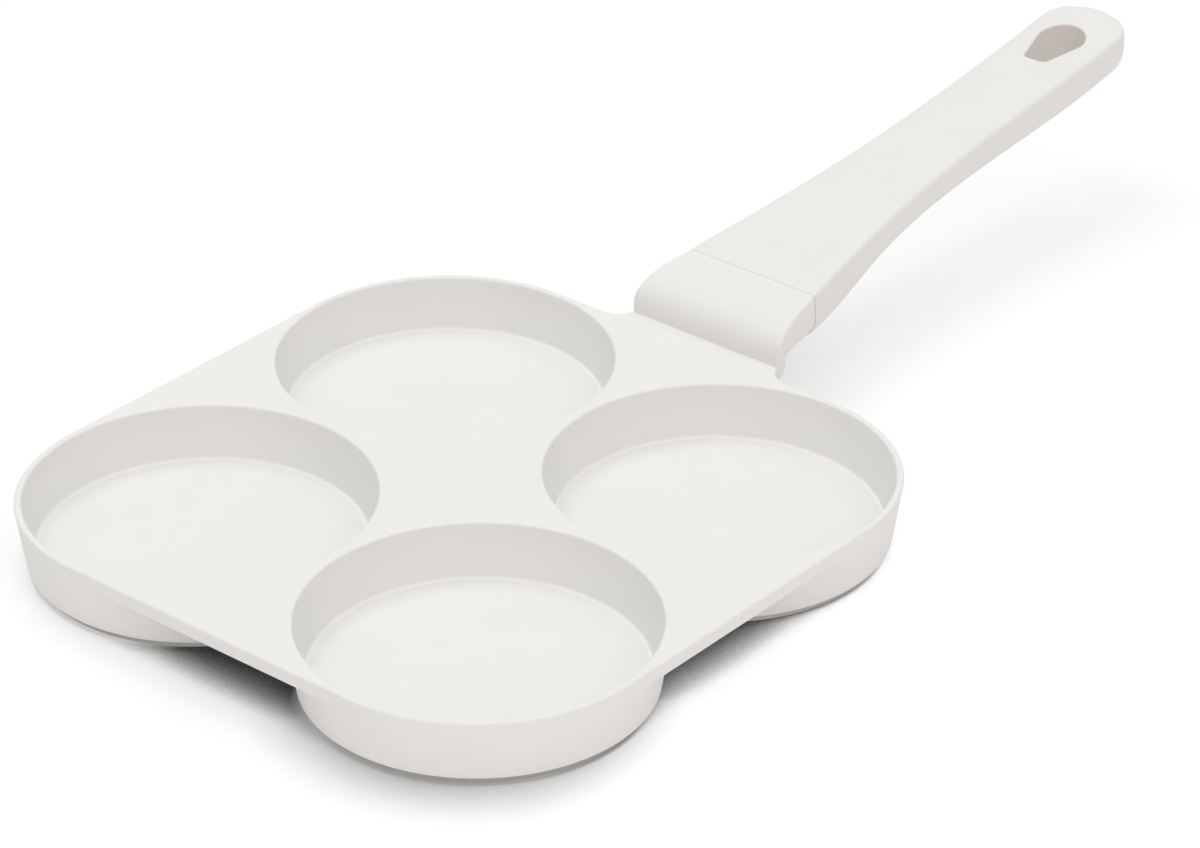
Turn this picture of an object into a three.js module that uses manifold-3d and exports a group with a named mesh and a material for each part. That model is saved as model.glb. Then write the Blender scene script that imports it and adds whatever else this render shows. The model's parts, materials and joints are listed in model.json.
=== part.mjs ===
// Four-hole burger pan. One casting carries the plate, four shallow cups and the handle seat.
// A pressed disc under each cup meets the hob. A moulded grip slides over the seat's tang and
// one screw from below holds it there. Millimetres, +Z up, +X from the pan to the grip's end.
// The origin lies on the surface under the discs, below the middle of the whole length.
import * as THREE from 'three';
import { mergeVertices } from 'three/addons/utils/BufferGeometryUtils.js';
import Module from 'manifold-3d';

const wasm = await Module();
wasm.setup();

// Cups
const CUP_MOUTH = 100;
const CUP_DEPTH = 16.3;
const CUP_FLOOR = 2.55;
const CUP_INNER_DRAFT = THREE.MathUtils.degToRad(10);
const CUP_OUTER_DRAFT = THREE.MathUtils.degToRad(8.4);
const CUP_FLOOR_FILLET = 1;
const CUP_BASE_ROUND = 0.8;
const CUP_GAP = 3.3;
const RIM_WALL = 2.2;
const RIM_ROUND = 0.8;

// Plate that joins the cups, and the webs between neighbouring cups under it
const PLATE_THICKNESS = 4.6;
const PLATE_TUCK = 0.1;
const WEB_LENGTH = 24;
const WEB_DEPTH = 11;

// Discs under the cups
const DISC_INSET = 2;
const DISC_THICKNESS = 3;
const DISC_RECESS = 0.6;
const DISC_CHAMFER = 0.5;
const DISC_DIMPLE_RADIUS = 4;
const DISC_RING_RADII = [16, 30];
const DISC_RING_WIDTH = 2.4;
const DISC_RING_DEPTH = 0.5;

// Handle seat, cast in one with the plate
const SEAT_WIDTH = 54.8;
const SEAT_SETBACK = 4.2;
const SEAT_REACH = 27.4;
const SEAT_RISE = 13.8;
const SEAT_NOSE = 20;
const SEAT_NOSE_POWER = 2.45;
const SEAT_NOSE_SINK = 0.5;
const SEAT_FLARE = 7.5;
const SEAT_TONGUE_TUCK = 0.4;
const SEAT_EDGE = 1.8;
const SEAT_EDGE_SHARE = 0.25;
const SEAT_SHOULDER_SHARE = 0.33;
const SEAT_FRONT_POWER = 10;
const SEAT_SQUARE_SHARE = 0.24;

// Grip
const HANDLE_TILT = THREE.MathUtils.degToRad(6.8);
const GRIP_LENGTH = 181;
const GRIP_WIDTH = 31.2;
const GRIP_EDGE = 3.2;
const GRIP_CROWN = 1.6;
const GRIP_SHOULDER = 4.6;
const GRIP_SIDE_MIN = 0.2;
const GRIP_LOWER_POWER = 2.5;
const GRIP_PROUD = 0.3;
const SEAM_WIDTH = 47.8;
const SEAM_DEPTH = 18.2;
const SEAM_GAP = 0.3;
const SEAM_LOWER_POWER = 3;
const TAPER_LENGTH = 96;
const TAPER_POWER = 1.6;
const WAIST_DEPTH = 14;
const WAIST_PLACE = 72;
const PALM_DEPTH = 18.7;
const PALM_PLACE = 172;
const TIP_LIFT = 2.2;
const TIP_ROUND = 11.2;
const TIP_PLAN_POWER = 2;
const TIP_SIDE_POWER = 5;
const TIP_BLUNT = 0.12;

// Hanging hole through the grip
const HOLE_LENGTH = 23;
const HOLE_WIDTH = 15.6;
const HOLE_NARROW = 9;
const HOLE_CORNER = 2.6;
const HOLE_TO_TIP = 13.6;

// Tang, its socket in the grip and the screw that holds them together
const TANG_WIDTH = 26;
const TANG_THICKNESS = 6;
const TANG_LENGTH = 34;
const TANG_CORNER = 2;
const TANG_ROOT = 8;
const TANG_COVER = 3.2;
const FIT_GAP = 0.3;
const STACK_GAP = 0.1;
const SCREW_PLACE = 14;
const SCREW_RADIUS = 2.5;
const SCREW_LENGTH = 9;
const SCREW_POINT_RADIUS = 1.9;
const SCREW_POINT_LENGTH = 0.6;
const SCREW_HEAD_RADIUS = 4.5;
const SCREW_HEAD_HEIGHT = 2.4;
const SCREW_SLOT_LENGTH = 5;
const SCREW_SLOT_WIDTH = 1;
const SCREW_SLOT_DEPTH = 1.3;
const SCREW_WALL = 2.2;
const COUNTERBORE_GAP = 0.9;
const FLAT_WASHER_THICKNESS = 0.6;
const SPRING_WASHER_THICKNESS = 1.1;
const SPRING_WASHER_SPLIT = 0.8;
const SPRING_WASHER_RADIUS = 4.2;

// Facets. A quarter turn of the plate's outline has twice OUTLINE_STEPS of them, as a cup has.
const OUTLINE_STEPS = 5;
const ROUND_STEPS = 8 * OUTLINE_STEPS;
const SMALL_ROUND_STEPS = 24;
const ARC_STEPS = 3;
const RIM_STEPS = 1;
const FILLET_STEPS = 2;
const SECTION_TOP_STEPS = 3;
const SECTION_LOWER_STEPS = 8;
const NOSE_STEPS = 8;
const NOSE_TO_SEAM_STEPS = 2;
const GRIP_STEPS = 16;
const TIP_STEPS = 8;
const SCREW_HEAD_STEPS = 6;

// How far a cut runs past the face that it opens, and how close two points count as one
const CUT_PAST = 5;
const SAME_POINT = 1e-4;

// Places worked out from the sizes above
const pitch = CUP_MOUTH + CUP_GAP;
const bodyHeight = CUP_DEPTH + CUP_FLOOR;
const discProud = DISC_THICKNESS - DISC_RECESS;
const plateTop = discProud + bodyHeight;
const plateUnder = plateTop - PLATE_THICKNESS;
const cupFloor = plateTop - CUP_DEPTH;
const mouthRadius = CUP_MOUTH / 2;
const rimRadius = mouthRadius + RIM_WALL;
const baseRadius = rimRadius - bodyHeight * Math.tan(CUP_OUTER_DRAFT);
const discRadius = baseRadius - DISC_INSET;
const plateHalf = pitch / 2 + rimRadius;
const seatStart = plateHalf + SEAT_SETBACK;
const seamX = plateHalf + SEAT_REACH;
const seamTop = plateTop + SEAT_RISE;
const cupPlaces = [
  { name: 'far_left', x: -pitch / 2, y: -pitch / 2 },
  { name: 'far_right', x: -pitch / 2, y: pitch / 2 },
  { name: 'near_left', x: pitch / 2, y: -pitch / 2 },
  { name: 'near_right', x: pitch / 2, y: pitch / 2 },
];

// The handle's own frame starts at the top of the seam. Its X runs along the grip.
const handleFrame = new THREE.Matrix4()
  .makeRotationY(-HANDLE_TILT)
  .setPosition(seamX, 0, seamTop);

// Turns a closed geometry into a solid that can be joined and cut.
function solid(geometry) {
  const bare = geometry.clone();
  bare.deleteAttribute('normal');
  bare.deleteAttribute('uv');
  const merged = mergeVertices(bare, SAME_POINT);
  const triangles = [];
  const corners = merged.index.array;
  for (let i = 0; i < corners.length; i += 3) {
    const [a, b, c] = corners.slice(i, i + 3);
    if (a !== b && b !== c && c !== a) {
      triangles.push(a, b, c);
    }
  }
  const mesh = new wasm.Mesh({
    numProp: 3,
    vertProperties: new Float32Array(merged.attributes.position.array),
    triVerts: new Uint32Array(triangles),
  });
  return new wasm.Manifold(mesh);
}

// Turns a finished solid back into a named mesh with its own finish.
function piece(name, body, finish) {
  const result = body.getMesh();
  const geometry = new THREE.BufferGeometry();
  geometry.setAttribute('position', new THREE.BufferAttribute(result.vertProperties, 3));
  geometry.setIndex(new THREE.BufferAttribute(result.triVerts, 1));
  geometry.computeVertexNormals();
  const mesh = new THREE.Mesh(geometry, new THREE.MeshStandardMaterial(finish));
  mesh.name = name;
  return mesh;
}

// Revolves a profile of radius and height about the Z axis.
function turned(profile, steps = ROUND_STEPS) {
  const geometry = new THREE.LatheGeometry(profile, steps);
  geometry.rotateX(Math.PI / 2);
  return solid(geometry);
}

// A plain ring about the Z axis.
function ring(inner, outer, low, high, steps = SMALL_ROUND_STEPS) {
  const corners = [[inner, low], [outer, low], [outer, high], [inner, high], [inner, low]];
  return turned(corners.map(([r, z]) => new THREE.Vector2(r, z)), steps);
}

// A plain round rod about the Z axis.
function rod(radius, low, high, steps = SMALL_ROUND_STEPS) {
  const corners = [[0, low], [radius, low], [radius, high], [0, high]];
  return turned(corners.map(([r, z]) => new THREE.Vector2(r, z)), steps);
}

// Skins a row of closed loops that have the same number of points, with a flat cap at each end.
function loft(loops) {
  const count = loops[0].length;
  const points = loops.flat();
  const faces = [];
  for (let k = 0; k + 1 < loops.length; k += 1) {
    for (let i = 0; i < count; i += 1) {
      const a = k * count + i;
      const b = k * count + (i + 1) % count;
      faces.push(a, b, b + count, a, b + count, a + count);
    }
  }
  const middle = (loop) => loop
    .reduce((sum, point) => sum.add(point), new THREE.Vector3())
    .divideScalar(count);
  const first = points.push(middle(loops[0])) - 1;
  const last = points.push(middle(loops[loops.length - 1])) - 1;
  const lastLoop = (loops.length - 1) * count;
  for (let i = 0; i < count; i += 1) {
    const next = (i + 1) % count;
    faces.push(first, next, i);
    faces.push(last, lastLoop + i, lastLoop + next);
  }
  const geometry = new THREE.BufferGeometry().setFromPoints(points);
  geometry.setIndex(faces);
  return solid(geometry);
}

// Outside of one cup: a drafted wall with a rounded foot and a rounded rim.
function cupOutside() {
  const lean = CUP_OUTER_DRAFT;
  const wallAt = (z) => rimRadius - (plateTop - z) * Math.tan(lean);
  const footZ = discProud + CUP_BASE_ROUND;
  const footX = wallAt(footZ) - CUP_BASE_ROUND / Math.cos(lean);
  const rimZ = plateTop - RIM_ROUND;
  const rimX = wallAt(rimZ) - RIM_ROUND / Math.cos(lean);
  const profile = new THREE.Path();
  profile.moveTo(0, discProud);
  profile.lineTo(footX, discProud);
  profile.absarc(footX, footZ, CUP_BASE_ROUND, -Math.PI / 2, -lean);
  profile.absarc(rimX, rimZ, RIM_ROUND, -lean, Math.PI / 2);
  profile.lineTo(0, plateTop);
  return turned(profile.getPoints(RIM_STEPS));
}

// Hollow of one cup, cut from the casting: flat floor, fillet, drafted wall and rounded lip.
function cupHollow() {
  const lean = CUP_INNER_DRAFT;
  const wallAt = (z) => mouthRadius - (plateTop - z) * Math.tan(lean);
  const filletZ = cupFloor + CUP_FLOOR_FILLET;
  const filletX = wallAt(filletZ) - CUP_FLOOR_FILLET / Math.cos(lean);
  const lipZ = plateTop - RIM_ROUND;
  const lipX = wallAt(lipZ) + RIM_ROUND / Math.cos(lean);
  const profile = new THREE.Path();
  profile.moveTo(0, cupFloor);
  profile.lineTo(filletX, cupFloor);
  profile.absarc(filletX, filletZ, CUP_FLOOR_FILLET, -Math.PI / 2, -lean);
  profile.absarc(lipX, lipZ, RIM_ROUND, Math.PI - lean, Math.PI / 2, true);
  profile.lineTo(lipX, plateTop + CUT_PAST);
  profile.lineTo(0, plateTop + CUT_PAST);
  return turned(profile.getPoints(FILLET_STEPS));
}

// Plate outline, drawn inside its full size by an inset: round corners about the cups and a
// tongue that flares out under the handle seat.
function plateLoop(inset, z) {
  const half = plateHalf - PLATE_TUCK - inset;
  const corner = rimRadius - PLATE_TUCK - inset;
  const centre = pitch / 2;
  const tongue = SEAT_WIDTH / 2 - SEAT_TONGUE_TUCK - inset;
  const flare = SEAT_FLARE + inset;
  const right = Math.PI / 2;
  const outline = new THREE.Path();
  outline.moveTo(-centre, -half);
  outline.absarc(centre, -centre, corner, -right, 0);
  outline.absarc(half + flare, -tongue - flare, flare, 2 * right, right, true);
  outline.absarc(half + flare, tongue + flare, flare, -right, -2 * right, true);
  outline.absarc(centre, centre, corner, 0, right);
  outline.absarc(-centre, centre, corner, right, 2 * right);
  outline.absarc(-centre, -centre, corner, 2 * right, 3 * right);
  const points = outline.getPoints(OUTLINE_STEPS).slice(1);
  return points.map((point) => new THREE.Vector3(point.x, point.y, z));
}

// Plate with the cups' draft on its edge and the rim's rounding along the top.
function plate() {
  const lean = Math.tan(CUP_OUTER_DRAFT);
  const loops = [plateLoop(PLATE_THICKNESS * lean, plateUnder)];
  for (let k = 0; k <= ARC_STEPS; k += 1) {
    const turn = (k / ARC_STEPS) * (Math.PI / 2);
    const inset = RIM_ROUND * (lean + 1 - Math.cos(turn));
    loops.push(plateLoop(inset, plateTop - RIM_ROUND * (1 - Math.sin(turn))));
  }
  return loft(loops);
}

// One web under the plate, across the narrow gap between two neighbouring cups.
function cupWeb(x, y, alongX) {
  const reach = CUP_GAP + 2 * RIM_WALL;
  const size = alongX ? [WEB_LENGTH, reach] : [reach, WEB_LENGTH];
  const box = new THREE.BoxGeometry(size[0], size[1], WEB_DEPTH + PLATE_THICKNESS / 2);
  box.translate(x, y, plateUnder + PLATE_THICKNESS / 2 - box.parameters.depth / 2);
  return solid(box);
}

// Section of the handle: a flat or crowned top with rounded edges, short upright sides and a
// boat-shaped underside. Each point holds how far it lies across and how far below the top.
function handleSection(half, depth, { edge, shoulder, crown, power }) {
  const flat = half - edge;
  const right = [];
  for (let k = 0; k < SECTION_TOP_STEPS; k += 1) {
    const y = (flat * k) / SECTION_TOP_STEPS;
    right.push([y, crown * (y / half) ** 2]);
  }
  const edgeTop = crown * (flat / half) ** 2;
  for (let k = 0; k <= ARC_STEPS; k += 1) {
    const turn = (k / ARC_STEPS) * (Math.PI / 2);
    right.push([flat + edge * Math.sin(turn), edgeTop + edge * (1 - Math.cos(turn))]);
  }
  const waterline = Math.max(shoulder, edgeTop + edge * (1 + GRIP_SIDE_MIN));
  for (let k = 0; k <= SECTION_LOWER_STEPS; k += 1) {
    const turn = (k / SECTION_LOWER_STEPS) * (Math.PI / 2);
    const across = half * Math.max(Math.cos(turn), 0) ** (2 / power);
    right.push([across, waterline + (depth - waterline) * Math.sin(turn) ** (2 / power)]);
  }
  right[right.length - 1][0] = 0;
  const left = right.map(([y, below]) => [-y, below]);
  return [...left, ...right.slice(1, -1).reverse()];
}

// Handle seat: a tall rounded nose that rises from the plate to meet the end of the grip.
function handleSeat() {
  const noseEnd = seatStart + SEAT_NOSE;
  const topLine = (x) => seamTop + (x - seamX) * Math.tan(HANDLE_TILT);
  const base = plateTop - SEAT_NOSE_SINK;
  const places = [];
  for (let k = 0; k <= NOSE_STEPS; k += 1) {
    const turn = (k / NOSE_STEPS) * (Math.PI / 2);
    const x = noseEnd - SEAT_NOSE * Math.max(Math.cos(turn), 0) ** (2 / SEAT_NOSE_POWER);
    const rise = Math.sin(turn) ** (2 / SEAT_NOSE_POWER);
    places.push({ x, top: base + (topLine(x) - base) * rise });
  }
  for (let k = 1; k <= NOSE_TO_SEAM_STEPS; k += 1) {
    const x = noseEnd + ((seamX - noseEnd) * k) / NOSE_TO_SEAM_STEPS;
    places.push({ x, top: topLine(x) });
  }
  const under = seamTop - SEAM_DEPTH * Math.cos(HANDLE_TILT);
  const rounding = (share) => THREE.MathUtils.smoothstep(share, 0, SEAT_SQUARE_SHARE);
  const loops = places.map(({ x, top }) => {
    const share = Math.max(x - seatStart, 0) / (seamX - seatStart);
    const half = THREE.MathUtils.lerp(SEAT_WIDTH, SEAM_WIDTH, share) / 2;
    const angle = HANDLE_TILT * share;
    const depth = (top - under) / Math.cos(angle);
    const shape = handleSection(half, depth, {
      edge: Math.min(SEAT_EDGE, depth * SEAT_EDGE_SHARE),
      shoulder: Math.min(GRIP_SHOULDER, depth * SEAT_SHOULDER_SHARE),
      crown: 0,
      power: THREE.MathUtils.lerp(SEAT_FRONT_POWER, SEAM_LOWER_POWER, rounding(share)),
    });
    return shape.map(([y, below]) => new THREE.Vector3(
      x + below * Math.sin(angle),
      y,
      top - below * Math.cos(angle),
    ));
  });
  return loft(loops);
}

// A bar with rounded corners along the handle's X, from the tang's size and a gap all round.
function tangBar(gap, start, end) {
  const high = TANG_COVER - gap;
  const low = TANG_COVER + TANG_THICKNESS + gap;
  const half = TANG_WIDTH / 2 + gap;
  const r = TANG_CORNER + gap;
  const right = Math.PI / 2;
  const shape = new THREE.Shape();
  shape.moveTo(high, r - half);
  shape.absarc(high + r, r - half, r, 2 * right, 3 * right);
  shape.absarc(low - r, r - half, r, 3 * right, 4 * right);
  shape.absarc(low - r, half - r, r, 0, right);
  shape.absarc(high + r, half - r, r, right, 2 * right);
  const options = { depth: end - start, bevelEnabled: false, curveSegments: OUTLINE_STEPS };
  const bar = new THREE.ExtrudeGeometry(shape, options);
  bar.rotateY(Math.PI / 2);
  bar.translate(start, 0, 0);
  return bar;
}

// Half width, depth and lift of the grip at a place along it, before the tip is rounded off.
function gripHalf(x) {
  const left = Math.max(1 - x / TAPER_LENGTH, 0);
  const seam = SEAM_WIDTH / 2 + GRIP_PROUD;
  return GRIP_WIDTH / 2 + (seam - GRIP_WIDTH / 2) * left ** TAPER_POWER;
}

function gripDepth(x) {
  const seam = SEAM_DEPTH + 2 * GRIP_PROUD;
  const toWaist = Math.max(1 - x / WAIST_PLACE, 0);
  const toPalm = THREE.MathUtils.smoothstep(x, WAIST_PLACE, PALM_PLACE);
  return WAIST_DEPTH + (seam - WAIST_DEPTH) * toWaist ** 2 + (PALM_DEPTH - WAIST_DEPTH) * toPalm;
}

function gripLift(x) {
  const past = Math.max(x - TAPER_LENGTH, 0) / (GRIP_LENGTH - TAPER_LENGTH);
  return GRIP_PROUD + TIP_LIFT * past ** 2;
}

// Share of the full size that is left this far into the rounded tip, from 1 down to the blunt end.
function tipShare(into, power) {
  return TIP_BLUNT + (1 - TIP_BLUNT) * Math.max(1 - into ** power, 0) ** (1 / power);
}

// Outer form of the grip, as sections set along the handle's X. Seen from above the tip is a
// round end, and seen from the side it is nearly square, with rounded corners.
function gripForm() {
  const tipStart = GRIP_LENGTH - TIP_ROUND;
  const places = [];
  for (let k = 0; k < GRIP_STEPS; k += 1) {
    places.push(SEAM_GAP + ((tipStart - SEAM_GAP) * k) / GRIP_STEPS);
  }
  for (let k = 0; k < TIP_STEPS; k += 1) {
    places.push(tipStart + TIP_ROUND * Math.sin((k / TIP_STEPS) * (Math.PI / 2)));
  }
  places.push(GRIP_LENGTH);
  const loops = places.map((x) => {
    const into = Math.max((x - tipStart) / TIP_ROUND, 0);
    const plan = tipShare(into, TIP_PLAN_POWER);
    const side = tipShare(into, TIP_SIDE_POWER);
    const along = THREE.MathUtils.smoothstep(x, 0, TAPER_LENGTH);
    const shape = handleSection(gripHalf(x) * plan, gripDepth(x) * side, {
      edge: THREE.MathUtils.lerp(SEAT_EDGE, GRIP_EDGE, along) * Math.min(plan, side),
      shoulder: GRIP_SHOULDER * side,
      crown: GRIP_CROWN * along * side,
      power: THREE.MathUtils.lerp(SEAM_LOWER_POWER, GRIP_LOWER_POWER, along),
    });
    const top = gripLift(x) - GRIP_SHOULDER * (1 - side);
    return shape.map(([y, below]) => new THREE.Vector3(x, y, top - below));
  });
  return loft(loops);
}

// Hanging hole: a round end towards the tip, narrowing to a short flat end towards the pan.
function hangingHole() {
  const big = HOLE_WIDTH / 2;
  const endX = GRIP_LENGTH - HOLE_TO_TIP - big;
  const smallX = big - HOLE_LENGTH + HOLE_CORNER;
  const smallY = HOLE_NARROW / 2 - HOLE_CORNER;
  const apart = Math.hypot(smallX, smallY);
  const toward = Math.atan2(smallY, smallX);
  const touch = toward - Math.acos((big - HOLE_CORNER) / apart);
  const shape = new THREE.Shape();
  shape.absarc(0, 0, big, -touch, touch);
  shape.absarc(smallX, smallY, HOLE_CORNER, touch, Math.PI);
  shape.absarc(smallX, -smallY, HOLE_CORNER, Math.PI, 2 * Math.PI - touch);
  const depth = PALM_DEPTH + TIP_LIFT + 2 * CUT_PAST;
  const options = { depth, bevelEnabled: false, curveSegments: 2 * OUTLINE_STEPS };
  const hole = new THREE.ExtrudeGeometry(shape, options);
  hole.translate(endX, 0, TIP_LIFT + CUT_PAST - depth);
  return solid(hole);
}

// Heights below the handle's top of the faces that the screw and its washers sit against.
const socketUnder = TANG_COVER + TANG_THICKNESS + FIT_GAP;
const washerSeat = socketUnder + SCREW_WALL;
const flatWasherTop = washerSeat + STACK_GAP;
const springWasherTop = flatWasherTop + FLAT_WASHER_THICKNESS + STACK_GAP;
const headTop = springWasherTop + SPRING_WASHER_THICKNESS + STACK_GAP;
const screwHole = SCREW_RADIUS + FIT_GAP;

function atScrew(body) {
  return body.translate([SCREW_PLACE, 0, 0]);
}

// Casting: plate, cups, webs and seat in one, with the tang that reaches into the grip.
function panBody() {
  const tang = solid(tangBar(0, -TANG_ROOT, TANG_LENGTH))
    .subtract(atScrew(rod(screwHole, -socketUnder - CUT_PAST, CUT_PAST)));
  let body = plate().add(handleSeat());
  body = body.add(tang.transform(handleFrame.elements));
  const outside = cupOutside();
  const hollow = cupHollow();
  const recess = rod(discRadius + FIT_GAP, -CUT_PAST, DISC_THICKNESS + STACK_GAP, ROUND_STEPS);
  for (const { x, y } of cupPlaces) {
    body = body.add(outside.translate([x, y, 0]));
  }
  for (const side of [-1, 1]) {
    body = body.add(cupWeb(0, (side * pitch) / 2, false));
    body = body.add(cupWeb((side * pitch) / 2, 0, true));
  }
  for (const { x, y } of cupPlaces) {
    body = body.subtract(hollow.translate([x, y, 0]));
    body = body.subtract(recess.translate([x, y, 0]));
  }
  return body;
}

// Disc under a cup: chamfered edge, a dimple in the middle and turned rings in its face.
function baseDisc() {
  const edge = discRadius - DISC_CHAMFER;
  const profile = [[0, DISC_RING_DEPTH], [DISC_DIMPLE_RADIUS, 0]];
  for (const radius of DISC_RING_RADII) {
    profile.push([radius, 0]);
    profile.push([radius + DISC_RING_WIDTH / 2, DISC_RING_DEPTH]);
    profile.push([radius + DISC_RING_WIDTH, 0]);
  }
  profile.push([edge, 0]);
  profile.push([discRadius, DISC_CHAMFER]);
  profile.push([discRadius, DISC_THICKNESS]);
  profile.push([0, DISC_THICKNESS]);
  return turned(profile.map(([r, z]) => new THREE.Vector2(r, z)));
}

// Grip: the outer form less the socket, the screw's way in and the hanging hole.
function handleGrip() {
  const socket = solid(tangBar(FIT_GAP, -CUT_PAST, TANG_LENGTH + FIT_GAP));
  const counterbore = SCREW_HEAD_RADIUS + COUNTERBORE_GAP;
  const wayIn = rod(counterbore, -SEAM_DEPTH - CUT_PAST, -washerSeat)
    .add(rod(screwHole, -washerSeat - STACK_GAP, -TANG_COVER - TANG_THICKNESS / 2));
  return gripForm()
    .subtract(socket)
    .subtract(atScrew(wayIn))
    .subtract(hangingHole());
}

// Pan-head screw, head down, with a cross cut in its head.
function handleScrew() {
  const headUnder = -headTop - SCREW_HEAD_HEIGHT;
  const profile = new THREE.Path();
  profile.moveTo(0, headUnder);
  profile.quadraticCurveTo(SCREW_HEAD_RADIUS, headUnder, SCREW_HEAD_RADIUS, -headTop);
  profile.lineTo(SCREW_RADIUS, -headTop);
  profile.lineTo(SCREW_RADIUS, SCREW_LENGTH - headTop - SCREW_POINT_LENGTH);
  profile.lineTo(SCREW_POINT_RADIUS, SCREW_LENGTH - headTop);
  profile.lineTo(0, SCREW_LENGTH - headTop);
  let screw = turned(profile.getPoints(SCREW_HEAD_STEPS), SMALL_ROUND_STEPS);
  for (const turn of [0, Math.PI / 2]) {
    const slot = new THREE.BoxGeometry(SCREW_SLOT_LENGTH, SCREW_SLOT_WIDTH, 2 * SCREW_SLOT_DEPTH);
    slot.rotateZ(turn);
    slot.translate(0, 0, headUnder);
    screw = screw.subtract(solid(slot));
  }
  return atScrew(screw);
}

function flatWasher() {
  const under = -flatWasherTop - FLAT_WASHER_THICKNESS;
  return atScrew(ring(screwHole, SCREW_HEAD_RADIUS + FIT_GAP, under, -flatWasherTop));
}

// Spring washer: a ring cut through on one side.
function springWasher() {
  const under = -springWasherTop - SPRING_WASHER_THICKNESS;
  const whole = ring(screwHole, SPRING_WASHER_RADIUS, under, -springWasherTop);
  const reach = SPRING_WASHER_RADIUS + CUT_PAST;
  const tall = SPRING_WASHER_THICKNESS + CUT_PAST;
  const split = new THREE.BoxGeometry(reach, SPRING_WASHER_SPLIT, tall);
  split.translate(reach / 2, 0, (under - springWasherTop) / 2);
  return atScrew(whole.subtract(solid(split)));
}

const coating = { color: 0xe9e8e3, roughness: 0.5, metalness: 0 };
const moulding = { color: 0xe8e7e2, roughness: 0.6, metalness: 0 };
const pressedSteel = { color: 0xa29e99, roughness: 0.38, metalness: 1 };
const platedSteel = { color: 0xb4b3b0, roughness: 0.3, metalness: 1 };

const pan = new THREE.Group();
pan.add(piece('pan_body', panBody(), coating));
for (const { name, x, y } of cupPlaces) {
  const disc = piece(`base_disc_${name}`, baseDisc(), pressedSteel);
  disc.position.set(x, y, 0);
  pan.add(disc);
}

const handle = new THREE.Group();
handle.position.set(seamX, 0, seamTop);
handle.rotation.y = -HANDLE_TILT;
handle.add(piece('handle_grip', handleGrip(), moulding));
handle.add(piece('handle_screw', handleScrew(), platedSteel));
handle.add(piece('flat_washer', flatWasher(), platedSteel));
handle.add(piece('spring_washer', springWasher(), platedSteel));
pan.add(handle);

// The middle of the whole length goes over the origin.
const extent = new THREE.Box3().setFromObject(pan, true);
pan.position.x = -extent.getCenter(new THREE.Vector3()).x;

const part = new THREE.Group();
part.add(pan);

export default part;
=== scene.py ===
# %% [markdown]
# # Four-hole burger pan
# The pan is one aluminium casting with a pale non-stick coating: a square plate with round corners,
# four shallow cups and a raised seat for the handle. A steel disc is pressed under each cup, and a
# moulded grip is screwed to the casting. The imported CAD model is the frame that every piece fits.

# %% Load the frame
import json
import math

import bmesh
import bpy
from mathutils import Matrix, Vector

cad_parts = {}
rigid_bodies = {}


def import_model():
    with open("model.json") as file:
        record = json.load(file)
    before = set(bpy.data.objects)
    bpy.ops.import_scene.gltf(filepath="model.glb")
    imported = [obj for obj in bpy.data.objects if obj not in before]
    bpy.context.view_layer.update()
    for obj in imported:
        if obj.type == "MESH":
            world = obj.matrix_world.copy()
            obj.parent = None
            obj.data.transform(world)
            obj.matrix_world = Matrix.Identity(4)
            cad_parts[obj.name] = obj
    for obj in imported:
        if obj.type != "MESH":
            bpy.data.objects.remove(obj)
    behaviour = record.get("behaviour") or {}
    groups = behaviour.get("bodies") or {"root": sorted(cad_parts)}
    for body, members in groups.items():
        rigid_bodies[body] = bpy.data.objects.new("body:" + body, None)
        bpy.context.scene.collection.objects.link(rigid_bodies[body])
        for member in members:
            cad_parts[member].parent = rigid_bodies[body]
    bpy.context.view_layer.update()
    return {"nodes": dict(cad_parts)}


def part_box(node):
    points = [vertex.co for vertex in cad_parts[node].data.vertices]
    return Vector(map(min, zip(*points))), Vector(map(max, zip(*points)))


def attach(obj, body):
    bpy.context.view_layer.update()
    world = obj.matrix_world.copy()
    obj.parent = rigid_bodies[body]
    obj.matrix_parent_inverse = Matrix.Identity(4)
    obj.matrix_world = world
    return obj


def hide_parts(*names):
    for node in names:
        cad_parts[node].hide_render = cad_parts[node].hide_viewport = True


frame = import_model()
MM = 0.001

# %% [markdown]
# The discs under the cups are round, so the middle of each one's box is the axis of its cup. These
# four axes place the whole casting, and the casting's box across the handle gives the rim's size.

# %% Places read from the frame
CUP_NAMES = ["far_left", "far_right", "near_left", "near_right"]


def middle_of(node):
    low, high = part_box(node)
    return (low + high) / 2


cup_axes = {name: middle_of(f"base_disc_{name}") for name in CUP_NAMES}
first_axis = cup_axes["far_left"]
PAN_X = sum(axis.x for axis in cup_axes.values()) / len(cup_axes)
CUP_OFF = cup_axes["near_right"].y
_, body_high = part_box("pan_body")
RIM_RADIUS = body_high.y - CUP_OFF
print("pan middle", round(PAN_X / MM, 3), "cup axis off it", round(CUP_OFF / MM, 3),
      "rim radius", round(RIM_RADIUS / MM, 3))

# %% [markdown]
# Every piece starts in the same way: nothing else is selected, a primitive is added and edit mode
# opens on it. The primitive's own points go, because each form below brings its own. The object
# stays at the origin and its place is in its mesh, so a pattern on object coordinates is measured in
# metres of the real pan.

# %% Start the casting
def nothing_selected():
    if bpy.context.mode != "OBJECT":
        bpy.ops.object.mode_set(mode="OBJECT")
    bpy.ops.object.select_all(action="DESELECT")


def start_piece(name):
    nothing_selected()
    bpy.ops.mesh.primitive_plane_add(size=MM)
    piece = bpy.context.object
    piece.name = name
    piece.data.name = name
    bpy.ops.object.mode_set(mode="EDIT")
    bpy.ops.mesh.delete(type="VERT")
    return piece


pan = start_piece("pan_casting")
print(pan.name, "is open in", bpy.context.mode)

# %% [markdown]
# A turned form is a circle that is extruded from height to height and resized to the next radius,
# as a potter pulls up a wall. Spinning a drawn profile would do the same, but here each height and
# radius stays a plain number. The same helper makes the cups, inside and out, and the discs.

# %% Turned forms
TURN_STEPS = 128


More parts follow.
